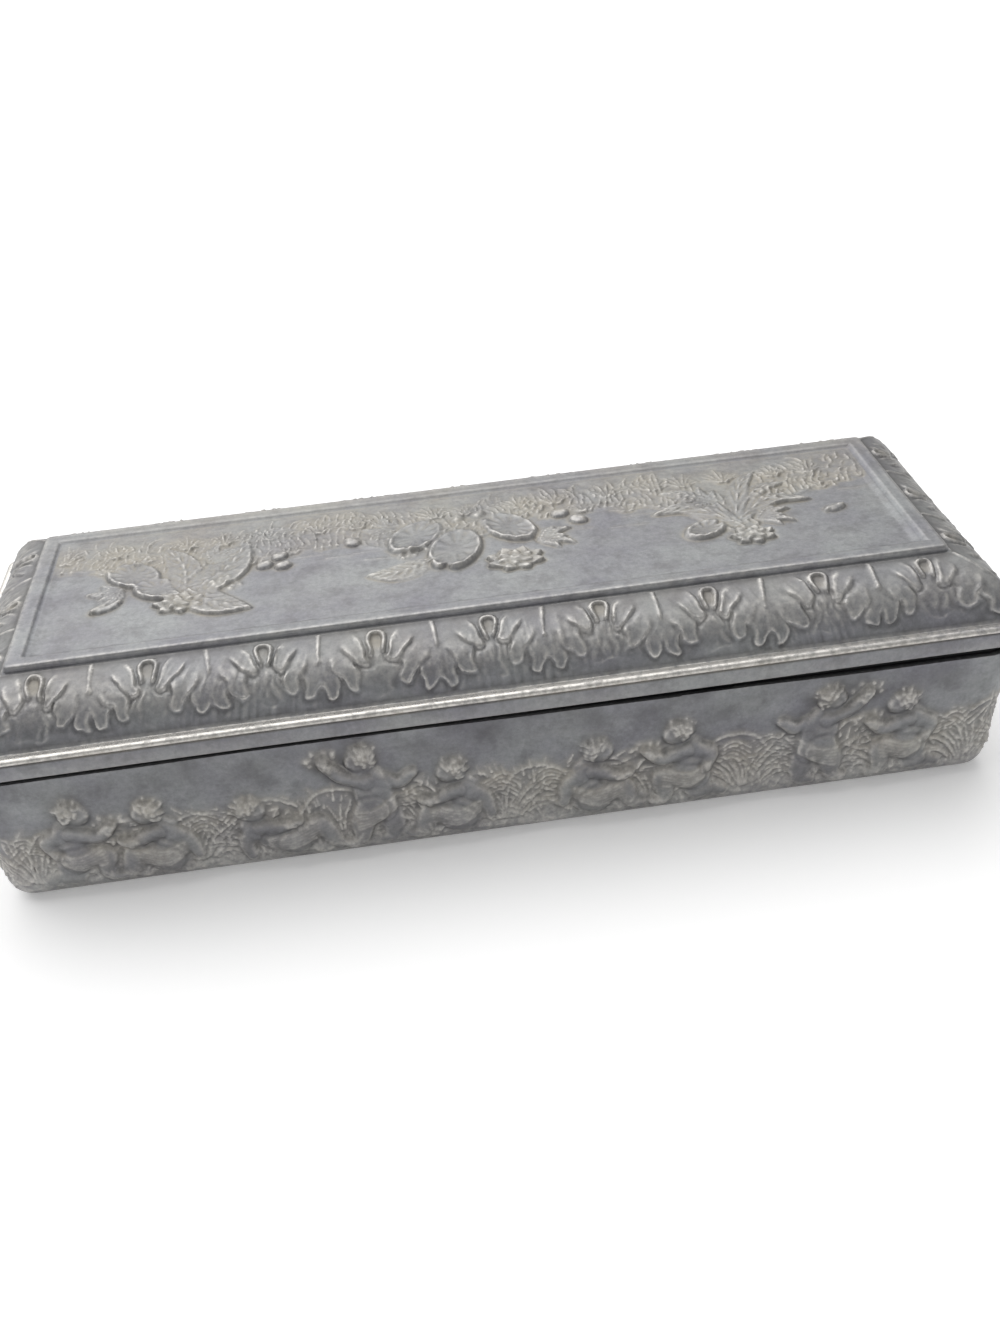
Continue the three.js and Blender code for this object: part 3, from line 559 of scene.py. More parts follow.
rim_fade = smooth(PANEL_LENGTH - np.abs(px), 0.2, 1.6) * smooth(PANEL_WIDTH - np.abs(py), 0.2, 1.6)
uneven = hand_work(px.shape) * (0.3 + panel.film)
panel.height = PANEL_BOLDNESS * (blur(panel.height, 1) + uneven) * rim_fade
print("panel relief mm:", round(panel.height.min(), 2), round(panel.height.max(), 2))

# %% [markdown]
# ## The base and its frieze
# The tray leans in towards its foot, and a frieze of playing children and grass runs round it under a plain
# band. Cherubs are an old stock figure, so each pose is a short list of limbs: a path and its half widths.
# Limbs swell out of the ground and run into each other with soft fillets, as flesh does. A crease is pressed
# only where one lies on another. Thin ridges then give each child a ribbon and a cloth round the hips, and
# small bumps its hair and a posy at the hand.

# %% Base rings
OVERHANG = 0.6
BASE_LENGTH, BASE_WIDTH = HALF_LENGTH - OVERHANG, HALF_WIDTH - OVERHANG
SHOULDER = PARTING - 1.6
BASE_TAPER, BASE_CORNER, FOOT_RADIUS = 3.0, 8.0, 4.5
WALL_ROWS, FOOT_ROWS = 92, 12
foot_angle = np.linspace(math.pi / 2, 0, FOOT_ROWS, endpoint=False)
foot_z = FOOT_RADIUS * (1 - np.sin(foot_angle))
wall_z = np.concatenate([foot_z, np.linspace(FOOT_RADIUS, SHOULDER, WALL_ROWS)])
wall_inset = BASE_TAPER * (SHOULDER - np.maximum(wall_z, FOOT_RADIUS)) / SHOULDER
wall_inset[:FOOT_ROWS] += FOOT_RADIUS * (1 - np.cos(foot_angle))
wall_radius = np.maximum(BASE_CORNER - wall_inset, 1.0)
wall_out = np.concatenate([np.cos(foot_angle), np.full(WALL_ROWS, 1.0)])
wall_down = np.concatenate([np.sin(foot_angle), np.full(WALL_ROWS, BASE_TAPER / SHOULDER)])
wall_rings = [outline(i, r, BASE_LENGTH, BASE_WIDTH) for i, r in zip(wall_inset, wall_radius)]
middle_ring = wall_rings[FOOT_ROWS + WALL_ROWS // 2]
side_run = 2 * middle_ring[5][[0, FINE_COLUMNS[0]]]
side_start = np.cumsum([0, side_run[0], side_run[1], side_run[0]])
around = middle_ring[4] + middle_ring[5] + side_start[middle_ring[6].astype(int)]
side_middle = side_start + np.array([side_run[0], side_run[1], side_run[0], side_run[1]]) / 2
print("frieze length mm:", round(2 * side_run.sum(), 1))

# %% Cherubs
# Each pose faces +u and stands on 0: (path, half widths, height) for every limb, then the head's middle and
# the line of a cloth round the hips. The last limb is the arm that holds the posy.
POSES = {
    "kneeling": ([([(-4.8, 1.0), (-1.2, 1.8)], (1.0, 1.6), 0.6),
                  ([(-1.4, 1.8), (-0.4, 4.8)], (1.9, 2.3), 0.85),
                  ([(-0.4, 4.6), (0.1, 7.4), (0.7, 9.8)], (2.5, 2.5, 2.2), 0.95),
                  ([(0.2, 10.2), (-2.6, 8.6), (-2.2, 6.0)], (1.2, 1.1, 0.85), 0.95),
                  ([(0.2, 4.6), (3.6, 5.0), (3.4, 1.4), (4.9, 0.9)], (2.2, 1.75, 1.15, 0.85), 1.0),
                  ([(1.1, 9.8), (4.0, 8.6), (6.2, 10.4)], (1.3, 1.15, 0.85), 1.05)], (2.0, 13.0),
                 [(-2.6, 6.2), (0.4, 4.3), (3.8, 5.4)]),
    "seated": ([([(0.3, 2.0), (4.5, 2.3), (7.6, 1.2)], (2.1, 1.6, 0.9), 0.65),
                ([(0, 2.6), (-0.8, 5.4), (-0.5, 8.4)], (2.7, 2.6, 2.2), 0.95),
                ([(-0.6, 8.4), (-3.2, 6.2), (-4.0, 2.8)], (1.25, 1.15, 0.85), 0.85),
                ([(0.4, 2.6), (3.9, 4.6), (5.6, 1.3), (7.0, 1.0)], (2.3, 1.75, 1.1, 0.8), 1.0),
                ([(0.4, 8.2), (3.2, 6.8), (5.0, 7.2)], (1.25, 1.1, 0.85), 1.05)], (0.7, 11.6),
               [(-2.6, 4.6), (0.6, 3.2), (4.0, 4.6)]),
    "reclining": ([([(0.8, 1.8), (4.8, 1.6), (8.4, 1.0)], (1.9, 1.5, 0.85), 0.6),
                   ([(0.2, 2.4), (-2.0, 4.2), (-3.9, 6.2)], (2.4, 2.5, 2.2), 0.95),
                   ([(-4.2, 6.0), (-5.8, 3.4), (-5.6, 0.9)], (1.25, 1.1, 0.85), 0.85),
                   ([(0.6, 2.4), (4.2, 5.2), (6.2, 1.6), (7.6, 1.1)], (2.2, 1.7, 1.1, 0.8), 1.0),
                   ([(-3.2, 6.2), (-0.4, 5.8), (1.9, 6.6)], (1.2, 1.1, 0.8), 1.05)], (-4.2, 9.5),
                  [(-2.8, 3.0), (0.6, 3.2), (4.2, 4.8)]),
    "reaching": ([([(-0.6, 12.0), (-3.2, 10.8), (-5.2, 12.2)], (1.25, 1.1, 0.85), 0.75),
                  ([(-0.6, 6.8), (-1.7, 3.6), (-1.5, 1.1), (-0.1, 0.8)], (2.1, 1.7, 1.1, 0.85), 0.75),
                  ([(0, 6.6), (0.2, 9.4), (0.5, 12.0)], (2.6, 2.6, 2.2), 0.95),
                  ([(0.8, 6.6), (2.4, 4.0), (3.0, 1.3), (4.4, 0.9)], (2.3, 1.75, 1.1, 0.85), 1.0),
                  ([(1.1, 12.0), (4.0, 13.2), (6.0, 15.8)], (1.3, 1.15, 0.85), 1.05)], (1.1, 15.4),
                 [(-2.6, 7.6), (0.4, 5.6), (3.0, 5.0)]),
}
HEAD_RADIUS = 1.95
HAIR_CURLS = 46
# From the head's middle: u, v, the radius and the rise of a small bump or dent.
NOSE_EYE_MOUTH = [(1.85, -0.35, 0.28, 0.2), (1.2, 0.0, 0.3, -0.16), (1.5, -1.05, 0.22, -0.1)]
# A ribbon that flutters behind each child, from the shoulder.
RIBBON = [(-0.6, 8.4), (-3.4, 7.4), (-6.0, 8.2), (-8.4, 6.2)]


def flesh(field, path, widths, top):
    """A flattened round limb with an undercut edge, and a crease where it lies on another."""
    at, u, v = field.window(path, max(widths) + 1.5)
    depth, _, _, width = stroke(u, v, path, widths)
    inside = np.clip(depth / width, 0, 1)
    shape = top * (0.15 + 0.85 * np.sqrt(1 - (1 - inside) ** 2)) + 1.1 * np.minimum(depth, 0)
    crease = 0.18 * np.exp(-(((depth + 0.35) / 0.6) ** 2)) * (depth < 0) * smooth(field.height[at], 0.3, 0.6)
    field.height[at] = merge(field.height[at] - crease, shape, 0.45)
    field.film[at] *= 1 - 0.8 * smooth(depth, -0.2, 0.6)
    field.skin[at] = np.maximum(field.skin[at], smooth(depth, 0.1, 0.9))


def cherub(field, at, pose, facing, size=1.43):
    """One chubby child. facing is 1 to the right or -1 to the left."""
    limbs, head, cloth = POSES[pose]

    def place(u, v):
        return at[0] + facing * size * u, at[1] + size * v

    for shift in (-1.0, -0.5, 0.0, 0.5, 1.0):
        folds = [place(u, v + shift * (0.5 - 0.16 * u)) for u, v in RIBBON]
        field.blade(curve(folds, 5), (0.3, 0.36, 0.36, 0.2), 0.3, 0.8)
    for path, widths, top in limbs:
        points = [place(*point) for point in path]
        smooth_path = curve(points, 5) if len(points) > 2 else np.linspace(*points, 4)
        flesh(field, smooth_path, [size * w for w in widths], 1.25 * top)
    for shift in (-1.3, -0.8, -0.3, 0.2, 0.7, 1.2):
        folds = [place(u, v + shift + 0.06 * shift * u) for u, v in cloth]
        field.blade(curve(folds, 5), (0.34, 0.4, 0.34), 0.2, 0.6)
    berries(field, place(*limbs[-1][0][-1]), 18, 2.1 * size, 0.32)
    skull = [place(*head), place(head[0] + 0.35, head[1] - 0.3)]
    flesh(field, skull, (HEAD_RADIUS * size, 0.9 * HEAD_RADIUS * size), 1.0)
    field.spot(place(head[0] + 0.9, head[1] - 0.8), 0.8 * size, 0.14)
    field.spot(place(head[0] - 0.5, head[1] + 0.6), 1.4 * size, 0.2, 1.0)
    for k in range(HAIR_CURLS):
        turned, reach = 2.4 * k + rng.normal(0, 0.2), 1.08 * HEAD_RADIUS * math.sqrt((k + 0.5) / HAIR_CURLS)
        curl = (reach * math.cos(turned) - 0.25, reach * math.sin(turned) + 0.25)
        if curl[0] < 0.45 + 0.8 * curl[1]:
            field.spot(place(head[0] + curl[0], head[1] + curl[1]), rng.uniform(0.2, 0.28) * size,
                       rng.uniform(0.2, 0.42), 1.0)
    for u, v, radius, rise in NOSE_EYE_MOUTH:
        field.spot(place(head[0] + u, head[1] + v), radius * size, rise)


print("poses:", sorted(POSES))

# %% Frieze
GROUND = 3.2
# Children on the long sides, then on the ends: place along the side, pose and facing.
LONG_SIDE_CHILDREN = [
    (-83.6, "kneeling", 1), (-66.5, "seated", -1), (-43, "reclining", 1), (-25, "reaching", -1),
    (-9, "seated", -1), (17, "seated", 1), (36.5, "kneeling", -1), (61.5, "reaching", 1),
    (80.5, "kneeling", -1),
]
END_CHILDREN = [(-11, "reaching", 1), (10, "seated", -1)]

frieze = Relief(around, wall_z)
fu, fv = np.meshgrid(around, wall_z)
mounds = 4.6 + 0.9 * np.sin(fu / 11.5 + 0.4) + 0.5 * np.sin(fu / 4.7 + 1)
frieze.height = lay(frieze.height, mounds - fv, 0.26 + 0.08 * np.sin(fu / 2.3) * np.sin(fv / 1.6), 3.0, 0)
frieze.height += 0.06 * np.sin(fu / 13 + 0.7 * np.sin(fv / 5)) + 0.04 * np.sin(fu / 5.3 + fv / 4)
frieze.film = 0.4 * (1 - smooth(fv, 14, 21))
# Short tool strokes that follow a slow swirl roughen the ground, most of all low down.
for u in rng.uniform(around[0], around[-1], 4000):
    v = 3.5 + 15 * rng.uniform() ** 1.35
    lean = 1.2 * math.sin(u / 8.5 + 0.6 * math.sin(v / 4)) + 0.9 * math.cos(v / 3.7 + u / 13)
    reach = rng.uniform(1.2, 2.6)
    mark = np.array([(u, v), (u + reach * math.sin(lean), v + reach * math.cos(lean))])
    frieze.blade(mark, (0.32, 0.14), rng.uniform(0.1, 0.28), 0.55)
for side in range(4):
    children = LONG_SIDE_CHILDREN if side % 2 == 0 else END_CHILDREN
    half = side_run[side % 2] / 2
    for c in np.arange(-half + 1, half, 13.0):
        crest = side_middle[side] + c + np.array([-7, -4, 0, 4, 7])
        top = rng.uniform(16.5, 19.5)
        hill = curve(np.column_stack([crest, top + np.array([-4.5, -0.6, 0.4, -0.9, -5])]), 5)
        frieze.blade(hill, (0.4, 0.55, 0.4), 0.26, 0.4)
    for c in np.arange(-half + 5, half - 2, 15.5) + rng.normal(0, 1, 13)[:math.ceil((2 * half - 7) / 15.5)]:
        for way in (-1, 1):
            root = (side_middle[side] + c + 1.5 * way, GROUND + rng.uniform(1.0, 2.5))
            grass_fan(frieze, root, rng.uniform(10.5, 13), 10, 0.1 * way, 1.3 * way, 0.36, 0.36)
    for c, pose, facing in children:
        cherub(frieze, (side_middle[side] + c, GROUND + 0.4), pose, facing)
        grass_fan(frieze, (side_middle[side] + c + 6 * facing, GROUND), 4.5, 8, -1.1, 1.1, 0.32, 0.26)
uneven = hand_work(fu.shape) * (0.3 + frieze.film)
frieze.height = (blur(frieze.height, 1) + uneven) * smooth(fv, 0.4, 4.2)
print("frieze relief mm:", round(frieze.height.min(), 2), round(frieze.height.max(), 2))

# %% [markdown]
# ## Stage
# The photograph has a white ground and soft light from above. A wide pale floor, an even sky and one very
# broad lamp give that. A sun lamp lights the whole floor alike, and a wide angle makes it as soft as a big
# diffuser. Every finish needs the same few nodes, so a small class comes first.

# %% Finishes
class Finish:
    """A material, with short ways to add nodes to it."""

    def __init__(self, name):
        self.material = bpy.data.materials.new(name)
        self.material.use_nodes = True
        self.nodes = self.material.node_tree.nodes
        self.links = self.material.node_tree.links
        self.shader = self.nodes["Principled BSDF"]
        self.place = self.nodes.new("ShaderNodeTexCoord").outputs["Object"]

    def put(self, socket, value):
        """Sets a number or a colour on a socket, or links another node's output to it."""
        if isinstance(value, bpy.types.NodeSocket):
            self.links.new(value, socket)
        else:
            socket.default_value = (*value, 1) if isinstance(value, tuple) else value

    def shade(self, **values):
        for name, value in values.items():
            self.put(self.shader.inputs[name.replace("_", " ")], value)

    def stored(self, name):
        """A value that each point of the mesh holds."""
        node = self.nodes.new("ShaderNodeAttribute")
        node.attribute_name = name
        return node.outputs["Fac"]

    def noise(self, scale, detail=3.0, roughness=0.55, stretch=(1, 1, 1)):
        node = self.nodes.new("ShaderNodeTexNoise")
        mapping = self.nodes.new("ShaderNodeMapping")
        mapping.inputs["Scale"].default_value = stretch
        self.links.new(self.place, mapping.inputs["Vector"])
        self.links.new(mapping.outputs["Vector"], node.inputs["Vector"])
        for name, value in (("Scale", scale), ("Detail", detail), ("Roughness", roughness)):
            node.inputs[name].default_value = value
        return node.outputs["Fac"]

    def span(self, source, low, high, first=0.0, last=1.0):
        """Maps a value from one range to another, and stops at its ends."""
        node = self.nodes.new("ShaderNodeMapRange")
        ends = (("From Min", low), ("From Max", high), ("To Min", first), ("To Max", last))
        for name, value in (("Value", source), *ends):
            self.put(node.inputs[name], value)
        return node.outputs["Result"]

    def maths(self, operation, first, second):
        node = self.nodes.new("ShaderNodeMath")
        node.operation = operation
        self.put(node.inputs[0], first)
        self.put(node.inputs[1], second)
        return node.outputs[0]

    def mix(self, share, first, second):
        node = self.nodes.new("ShaderNodeMix")
        node.data_type = "RGBA"
        for socket, value in (("Factor", share), (6, first), (7, second)):
            self.put(node.inputs[socket], value)
        return node.outputs[2]

    def bump(self, height, strength, distance):
        node = self.nodes.new("ShaderNodeBump")
        for name, value in (("Height", height), ("Strength", strength), ("Distance", distance)):
            self.put(node.inputs[name], value)
        self.shade(Normal=node.outputs["Normal"])


def mesh_object(name, verts, faces, material=None):
    mesh = bpy.data.meshes.new(name)
    mesh.from_pydata(verts, [], faces)
    mesh.update()
    if material:
        mesh.materials.append(material)
    piece = bpy.data.objects.new(name, mesh)
    bpy.context.scene.collection.objects.link(piece)
    return piece


print("finish helper ready")

# %% Floor, sky and lamp
FLOOR_REACH = 6.0
FLOOR_GLOW, SKY_STRENGTH = 0.22, 0.36
LAMP_STRENGTH, LAMP_ANGLE = 2.5, 80
floor_paint = Finish("floor_paint")
floor_paint.shade(Base_Color=(0.95, 0.95, 0.95), Roughness=0.9, Emission_Color=(1, 1, 1))
light_path = floor_paint.nodes.new("ShaderNodeLightPath")
seen = floor_paint.maths("MAXIMUM", light_path.outputs["Is Camera Ray"], light_path.outputs["Is Glossy Ray"])
seen = floor_paint.maths("MAXIMUM", seen, light_path.outputs["Is Transmission Ray"])
floor_paint.shade(Emission_Strength=floor_paint.maths("MULTIPLY", seen, FLOOR_GLOW))
corners = [(x * FLOOR_REACH, y * FLOOR_REACH, 0) for x, y in ((-1, -1), (1, -1), (1, 1), (-1, 1))]
floor = mesh_object("floor", corners, [(0, 1, 2, 3)], floor_paint.material)

world = bpy.data.worlds.new("studio")
bpy.context.scene.world = world
world.use_nodes = True
sky = world.node_tree.nodes["Background"]
sky.inputs["Color"].default_value = (1, 1, 1, 1)
sky.inputs["Strength"].default_value = SKY_STRENGTH
bpy.context.scene.view_settings.view_transform = "Standard"

lamp = bpy.data.objects.new("overhead_lamp", bpy.data.lights.new("overhead_lamp", "SUN"))
lamp.data.energy = LAMP_STRENGTH
lamp.data.angle = math.radians(LAMP_ANGLE)
lamp.rotation_euler = Vector((0.25, -0.5, -1.0)).to_track_quat("-Z", "Y").to_euler()
bpy.context.scene.collection.objects.link(lamp)
print("lamp:", lamp.name)

# %% [markdown]
# ## White metal
# The alloy is soft and grey. Handling brightens whatever stands out, and dust and old polish stay as a tan
# film where the relief is fine. Three values at each point of a casting steer the finish: how far it stands
# out, for worn metal and a painted highlight, how deep it lies, for painted shade, and how much film it holds.
# A depth of 1 to 2 is painted black, as the shade inside a gap. Noise breaks the values up, so that none reads
# like a drawn line.

# %% White metal material
def white_metal():
    f = Finish("white_metal")
    crest, hollow, film = f.stored("crest"), f.stored("hollow"), f.stored("film")
    clouds = f.span(f.noise(70, 5), 0.35, 0.65)
    mottle = f.span(f.noise(950, 5, 0.75), 0.3, 0.7)
    stains = f.span(f.noise(210, 6, 0.7), 0.47, 0.68, 0, 0.6)
    flecks = f.span(f.noise(700, 4, 0.65), 0.38, 0.62, 0.3, 1.0)
    patches = f.span(f.noise(60, 4), 0.36, 0.6, 0.35, 1.0)
    scuffs = f.span(f.noise(420, 4, 0.6, (0.14, 1, 1)), 0.58, 0.74, 0, 0.3)
    grey = f.mix(mottle, f.mix(clouds, (0.176, 0.176, 0.197), (0.234, 0.243, 0.249)),
                 f.mix(clouds, (0.27, 0.27, 0.294), (0.343, 0.352, 0.356)))
    grey = f.mix(stains, grey, (0.138, 0.136, 0.146))
    grey = f.mix(f.maths("MULTIPLY", scuffs, patches), grey, (0.36, 0.36, 0.365))
    filmed = f.maths("MULTIPLY", film, f.maths("MULTIPLY", patches, f.span(mottle, 0, 1, 0.45, 1.0)))
    dusty = f.mix(f.maths("MULTIPLY", filmed, 0.85), grey, (0.45, 0.41, 0.335))
    # Painted shade: the deeper a point lies, the darker its grey.
    shaded = f.mix(f.maths("MULTIPLY", f.span(hollow, 0, 1), 0.55), dusty, (0.07, 0.068, 0.066))
    # Crests go pale cream: worn metal, and a painted highlight.
    wear_and_highlight = f.maths("MULTIPLY", crest, flecks)
    bright = f.mix(f.maths("MULTIPLY", wear_and_highlight, 0.68), shaded, (0.71, 0.685, 0.645))
    # A hollow of 1 to 2 is painted black, as the shade inside a gap.
    f.shade(Base_Color=f.mix(f.span(hollow, 1, 2), bright, (0.012, 0.012, 0.013)))
    f.shade(Metallic=f.span(f.maths("MAXIMUM", filmed, f.span(hollow, 1, 2)), 0, 2, 0.78, 0.15))
    rough = f.maths("SUBTRACT", f.span(mottle, 0, 1, 0.5, 0.57), f.maths("MULTIPLY", wear_and_highlight, 0.1))
    f.shade(Roughness=f.maths("ADD", rough, f.maths("MULTIPLY", filmed, 0.1)))
    fine_grain = f.maths("MULTIPLY", f.noise(1700, 4), 0.4)
    grain = f.maths("ADD", fine_grain, f.maths("MULTIPLY", f.noise(380, 4), 0.6))
    f.bump(grain, 0.55, 0.00014)
    return f.material


metal = white_metal()
print("material:", metal.name)

# %% [markdown]
# ## Casting the meshes
# Rings become rows of quads. A Boolean cuts the two hinge seats, and Decimate then gathers the flat parts
# into large triangles, so that the relief keeps its fine ones within a fair total. Each row also carries the
# three values of the finish, found by setting the heights against blurred copies of themselves.

# %% Casting rows
def finish_values(height, film, row_step=None, wear_and_highlight=0.0, lit=0.4, fine_dark=0.6, bright=(0.7, 0.4)):
    """How far each point stands out, how deep it lies and its film of dirt, from 0 to 1. Crests stand for wear
    and a painted highlight, and hollows for painted shade. On a wall whose rows climb by row_step, what faces
    up gets a painted highlight and more dust, and what faces down gets painted shade, as far as lit says.
    wear_and_highlight is added to the crests, fine_dark is the share of fine hollows, and bright has the shares
    of fine and broad crests."""
    fine, broad = height - blur(height, 10), height - blur(height, 90)
    crest = bright[0] * np.clip((fine - 0.01) / 0.1, 0, 1) + bright[1] * np.clip((broad - 0.05) / 0.4, 0, 1)
    crest = crest + wear_and_highlight
    hollow = fine_dark * np.clip((-fine - 0.01) / 0.1, 0, 1) + 0.6 * np.clip((-broad - 0.03) / 0.3, 0, 1)
    film = blur(film, 6)
    if row_step is not None:
        climb = blur(np.gradient(height, axis=0) / row_step[:, None], 1)
        crest = crest + lit * np.clip(-climb / 0.7, 0, 1)
        film = film + 0.8 * lit * np.clip(-climb / 0.5, 0, 1)
        hollow = hollow + 1.6 * lit * np.clip(climb / 0.6, 0, 1)
    return np.stack([np.clip(crest, 0, 1), np.clip(hollow, 0, 1), np.clip(film, 0, 1)], 1)


def blotches(shape):
    """Soft spots some millimetres long, as old stains leave them, about 1 strong."""
    rows, columns = shape
    spots = np.kron(rng.normal(0, 1, (rows // 9 + 1, columns // 24 + 1)), np.ones((9, 24)))[:rows, :columns]
    spots = blur(spots, 60)
    return spots / spots.std()


def plain_row(ring, z, *values):
    """A ring at one height with the same finish values all round: x, y, z, crest, hollow and film."""
    count = ring.shape[1]
    return np.vstack([ring[:2], np.full(count, z), *(np.full(count, value) for value in values)])


def relief_row(ring, z, out, rise, height, values):
    """A ring whose points are moved out and up by their heights."""
    return np.vstack([ring[:2] + ring[2:4] * out * height, z + rise * height, values])


def unevenness(points):
    """A casting is never quite flat: a slow sway of a few hundredths of a millimetre, and more at the base's
    shoulder, which was filed by hand."""
    x, y, z = points.T
    sway = np.stack([np.sin(y / 11 + z / 9), np.sin(x / 17 + z / 8), np.sin(x / 23) * np.sin(y / 12 + 1)], 1)
    moved = 0.06 * sway * smooth(z, 0, 3)[:, None]
    filed = 0.2 + 0.14 * np.sin(x / 40 + 2.6) + 0.05 * np.sin(x / 7 + y / 9)
    moved[:, 2] += filed * smooth(z, SHOULDER - 4, SHOULDER) * (z < SHOULDER + 0.2)
    return moved


print("row helpers ready")

# %% Casting helper
FACE_LIMIT = 195000
CASTING_SHARP_ANGLE = math.radians(60)
SEAT_RADIUS, SEAT_LENGTH, SEAT_SIDES = 1.9, 25.2, 40
HINGE_SPREAD, HINGE_Y, HINGE_Z = 58.0, HALF_WIDTH - 1.2, PARTING - 0.8


def round_the_axis(x, radius, sides):
    """A circle of points round the hinge axis at one place along it, in metres."""
    angle = np.linspace(0, 2 * math.pi, sides, endpoint=False)
    y, z = HINGE_Y + radius * np.cos(angle), HINGE_Z + radius * np.sin(angle)
    return np.stack([np.full(sides, x), y, z], 1) * MM


def strips(index, closed=False):
    """Quads between rings of point numbers. closed also joins the last ring to the first."""
    rows = np.vstack([index, index[:1]]) if closed else index
    after = np.roll(rows, -1, axis=1)
    return np.stack([rows[:-1], after[:-1], after[1:], rows[1:]], -1).reshape(-1, 4)


def lathe(name, rows, closed=False, material=None):
    """A piece from rings of points. Its ends are capped, or joined to each other."""
    rows = np.array(rows)
    index = np.arange(rows.shape[0] * rows.shape[1]).reshape(rows.shape[:2])
    faces = strips(index, closed).tolist()
    if not closed:
        faces += [tuple(index[0][::-1].tolist()), tuple(index[-1].tolist())]
    return mesh_object(name, rows.reshape(-1, 3), faces, material)


def applied(piece):
    """The piece with its modifiers turned into mesh."""
    graph = bpy.context.evaluated_depsgraph_get()
    piece.data = bpy.data.meshes.new_from_object(piece.evaluated_get(graph), preserve_all_data_layers=True,
                                                 depsgraph=graph)
    piece.modifiers.clear()
    return piece.data


def cut_hinge_seats(piece):
    for side in (-1, 1):
        ends = [side * HINGE_SPREAD + end * SEAT_LENGTH / 2 for end in (-1, 1)]
        cutter = lathe("hinge_seat_cutter", [round_the_axis(x, SEAT_RADIUS, SEAT_SIDES) for x in ends])
        seat = piece.modifiers.new("hinge_seat", "BOOLEAN")
        seat.solver = "MANIFOLD"
        seat.object = cutter
        applied(piece)
        bpy.data.objects.remove(cutter)


def grid_in_ring(edge, nx, ny, first):
    """Point numbers of a grid whose border is the ring, numbered from first inside it."""
    grid = np.zeros((ny + 1, nx + 1), int)
    grid[0, :] = edge[:nx + 1]
    grid[:, -1] = edge[nx:nx + ny + 1]
    grid[-1, ::-1] = edge[nx + ny:2 * nx + ny + 1]
    grid[::-1, 0] = np.append(edge[2 * nx + ny:], edge[0])
    grid[1:-1, 1:-1] = first + np.arange((nx - 1) * (ny - 1)).reshape(ny - 1, nx - 1)
    return grid


def cast(name, rows, centre=None):
    """A closed casting from its rows. centre is a grid of points in the last row, or None for a flat cap."""
    rows = np.array(rows)
    index = np.arange(rows.shape[0] * rows.shape[2]).reshape(rows.shape[0], rows.shape[2])
    points = rows.transpose(0, 2, 1).reshape(-1, rows.shape[1])
    quads = [strips(index)]
    caps = [tuple(index[0][::-1].tolist())]
    if centre is None:
        caps.append(tuple(index[-1].tolist()))
    else:
        grid = grid_in_ring(index[-1], centre.shape[2] - 1, centre.shape[1] - 1, len(points))
        points = np.vstack([points, centre[:, 1:-1, 1:-1].reshape(len(centre), -1).T])
        corners = [grid[:-1, :-1], grid[:-1, 1:], grid[1:, 1:], grid[1:, :-1]]
        quads.append(np.stack(corners, -1).reshape(-1, 4))
    places = (points[:, :3] + unevenness(points[:, :3])) * MM
    piece = mesh_object(name, places, np.vstack(quads).tolist() + caps)
    for column, key in enumerate(("crest", "hollow", "film"), 3):
        layer = piece.data.attributes.new(key, "FLOAT", "POINT")
        layer.data.foreach_set("value", points[:, column].astype(np.float32))
    cut_hinge_seats(piece)
    made = sum(len(face.vertices) - 2 for face in piece.data.polygons)
    thin = piece.modifiers.new("thin_out", "DECIMATE")
    thin.ratio = min(1.0, FACE_LIMIT / made)
    mesh = applied(piece)
    mesh.shade_smooth()
    mesh.set_sharp_from_angle(angle=CASTING_SHARP_ANGLE)
    even = piece.modifiers.new("even_shading", "WEIGHTED_NORMAL")
    even.keep_sharp = True
    mesh = applied(piece)
    mesh.materials.clear()
    mesh.materials.append(metal)
    kept = sum(len(face.vertices) - 2 for face in mesh.polygons)
    print(name, "triangles:", made, "kept:", kept)
    return piece


# %% Lid casting
CEILING_INSET, LID_RIM = 16.0, 4.35
CEILING_HEIGHT = TOP - FRAME_STEP - 2.7
CAVITY_FOOT, CAVITY_ROWS = PARTING + 5.3, 7
COVE_HEIGHT, COVE_RUN = 0.35, 1.6
# Inset, height above the parting line, crest, hollow and film, from the underside up the flange.
# On the underside, hollows of 1 and more paint the shade inside the gap, near black; the groove under the bead
# holds painted shade and dirt.
FLANGE_PROFILE = [
    (LID_RIM, 0, 0, 1, 0), (0.6, 0, 0, 1.4, 0), (0.22, 0.2, 0.5, 0, 0.2), (0.15, 0.42, 0.25, 0, 0.2),
    (0.15, 0.7, 0, 0.1, 0), (0.15, 2.1, 0, 0.05, 0), (0.15, 3.1, 0, 0.1, 0.1), (0.42, 3.35, 0, 0.9, 1),
    (0.42, 3.5, 0, 0.9, 1), (0.06, 3.7, 1.4, 0, 1.4), (0, 4.0, 1.6, 0, 0.9), (0.12, 4.35, 1.6, 0, 0.6),
]
# The same for the ledge on top of it.
LEDGE_PROFILE = [
    (0.45, 4.58, 2.2, 0, 0.4), (0.9, 4.65, 3.2, 0, 0.3), (1.5, 4.62, 3.4, 0, 0.2), (1.9, 4.58, 2.6, 0, 0.2),
]
# Inset, depth below the top, crest, hollow and film, from the quirk over the frame to the panel's edge.
# The hollows paint shade in the quirk and at the step down to the panel.
FRAME_PROFILE = [
    (13.1, 1.35, 0, 0.6, 0), (13.38, 1.15, 0, 0.4, 0), (13.4, 0.6, 0.2, 0, 0), (13.5, 0.2, 0.6, 0, 0),
    (13.8, 0, 0.6, 0, 0.1), (14.3, 0, 0.2, 0, 0.1), (15.2, 0.05, 0, 0, 0.1), (15.9, 0, 0.1, 0, 0.1),
    (16.3, 0.08, 0.3, 0, 0), (16.6, 0.3, 0.15, 0, 0), (16.85, 0.5, 0, 0.1, 0),
    (PANEL_INSET, FRAME_STEP, 0, 0.15, 0),
]


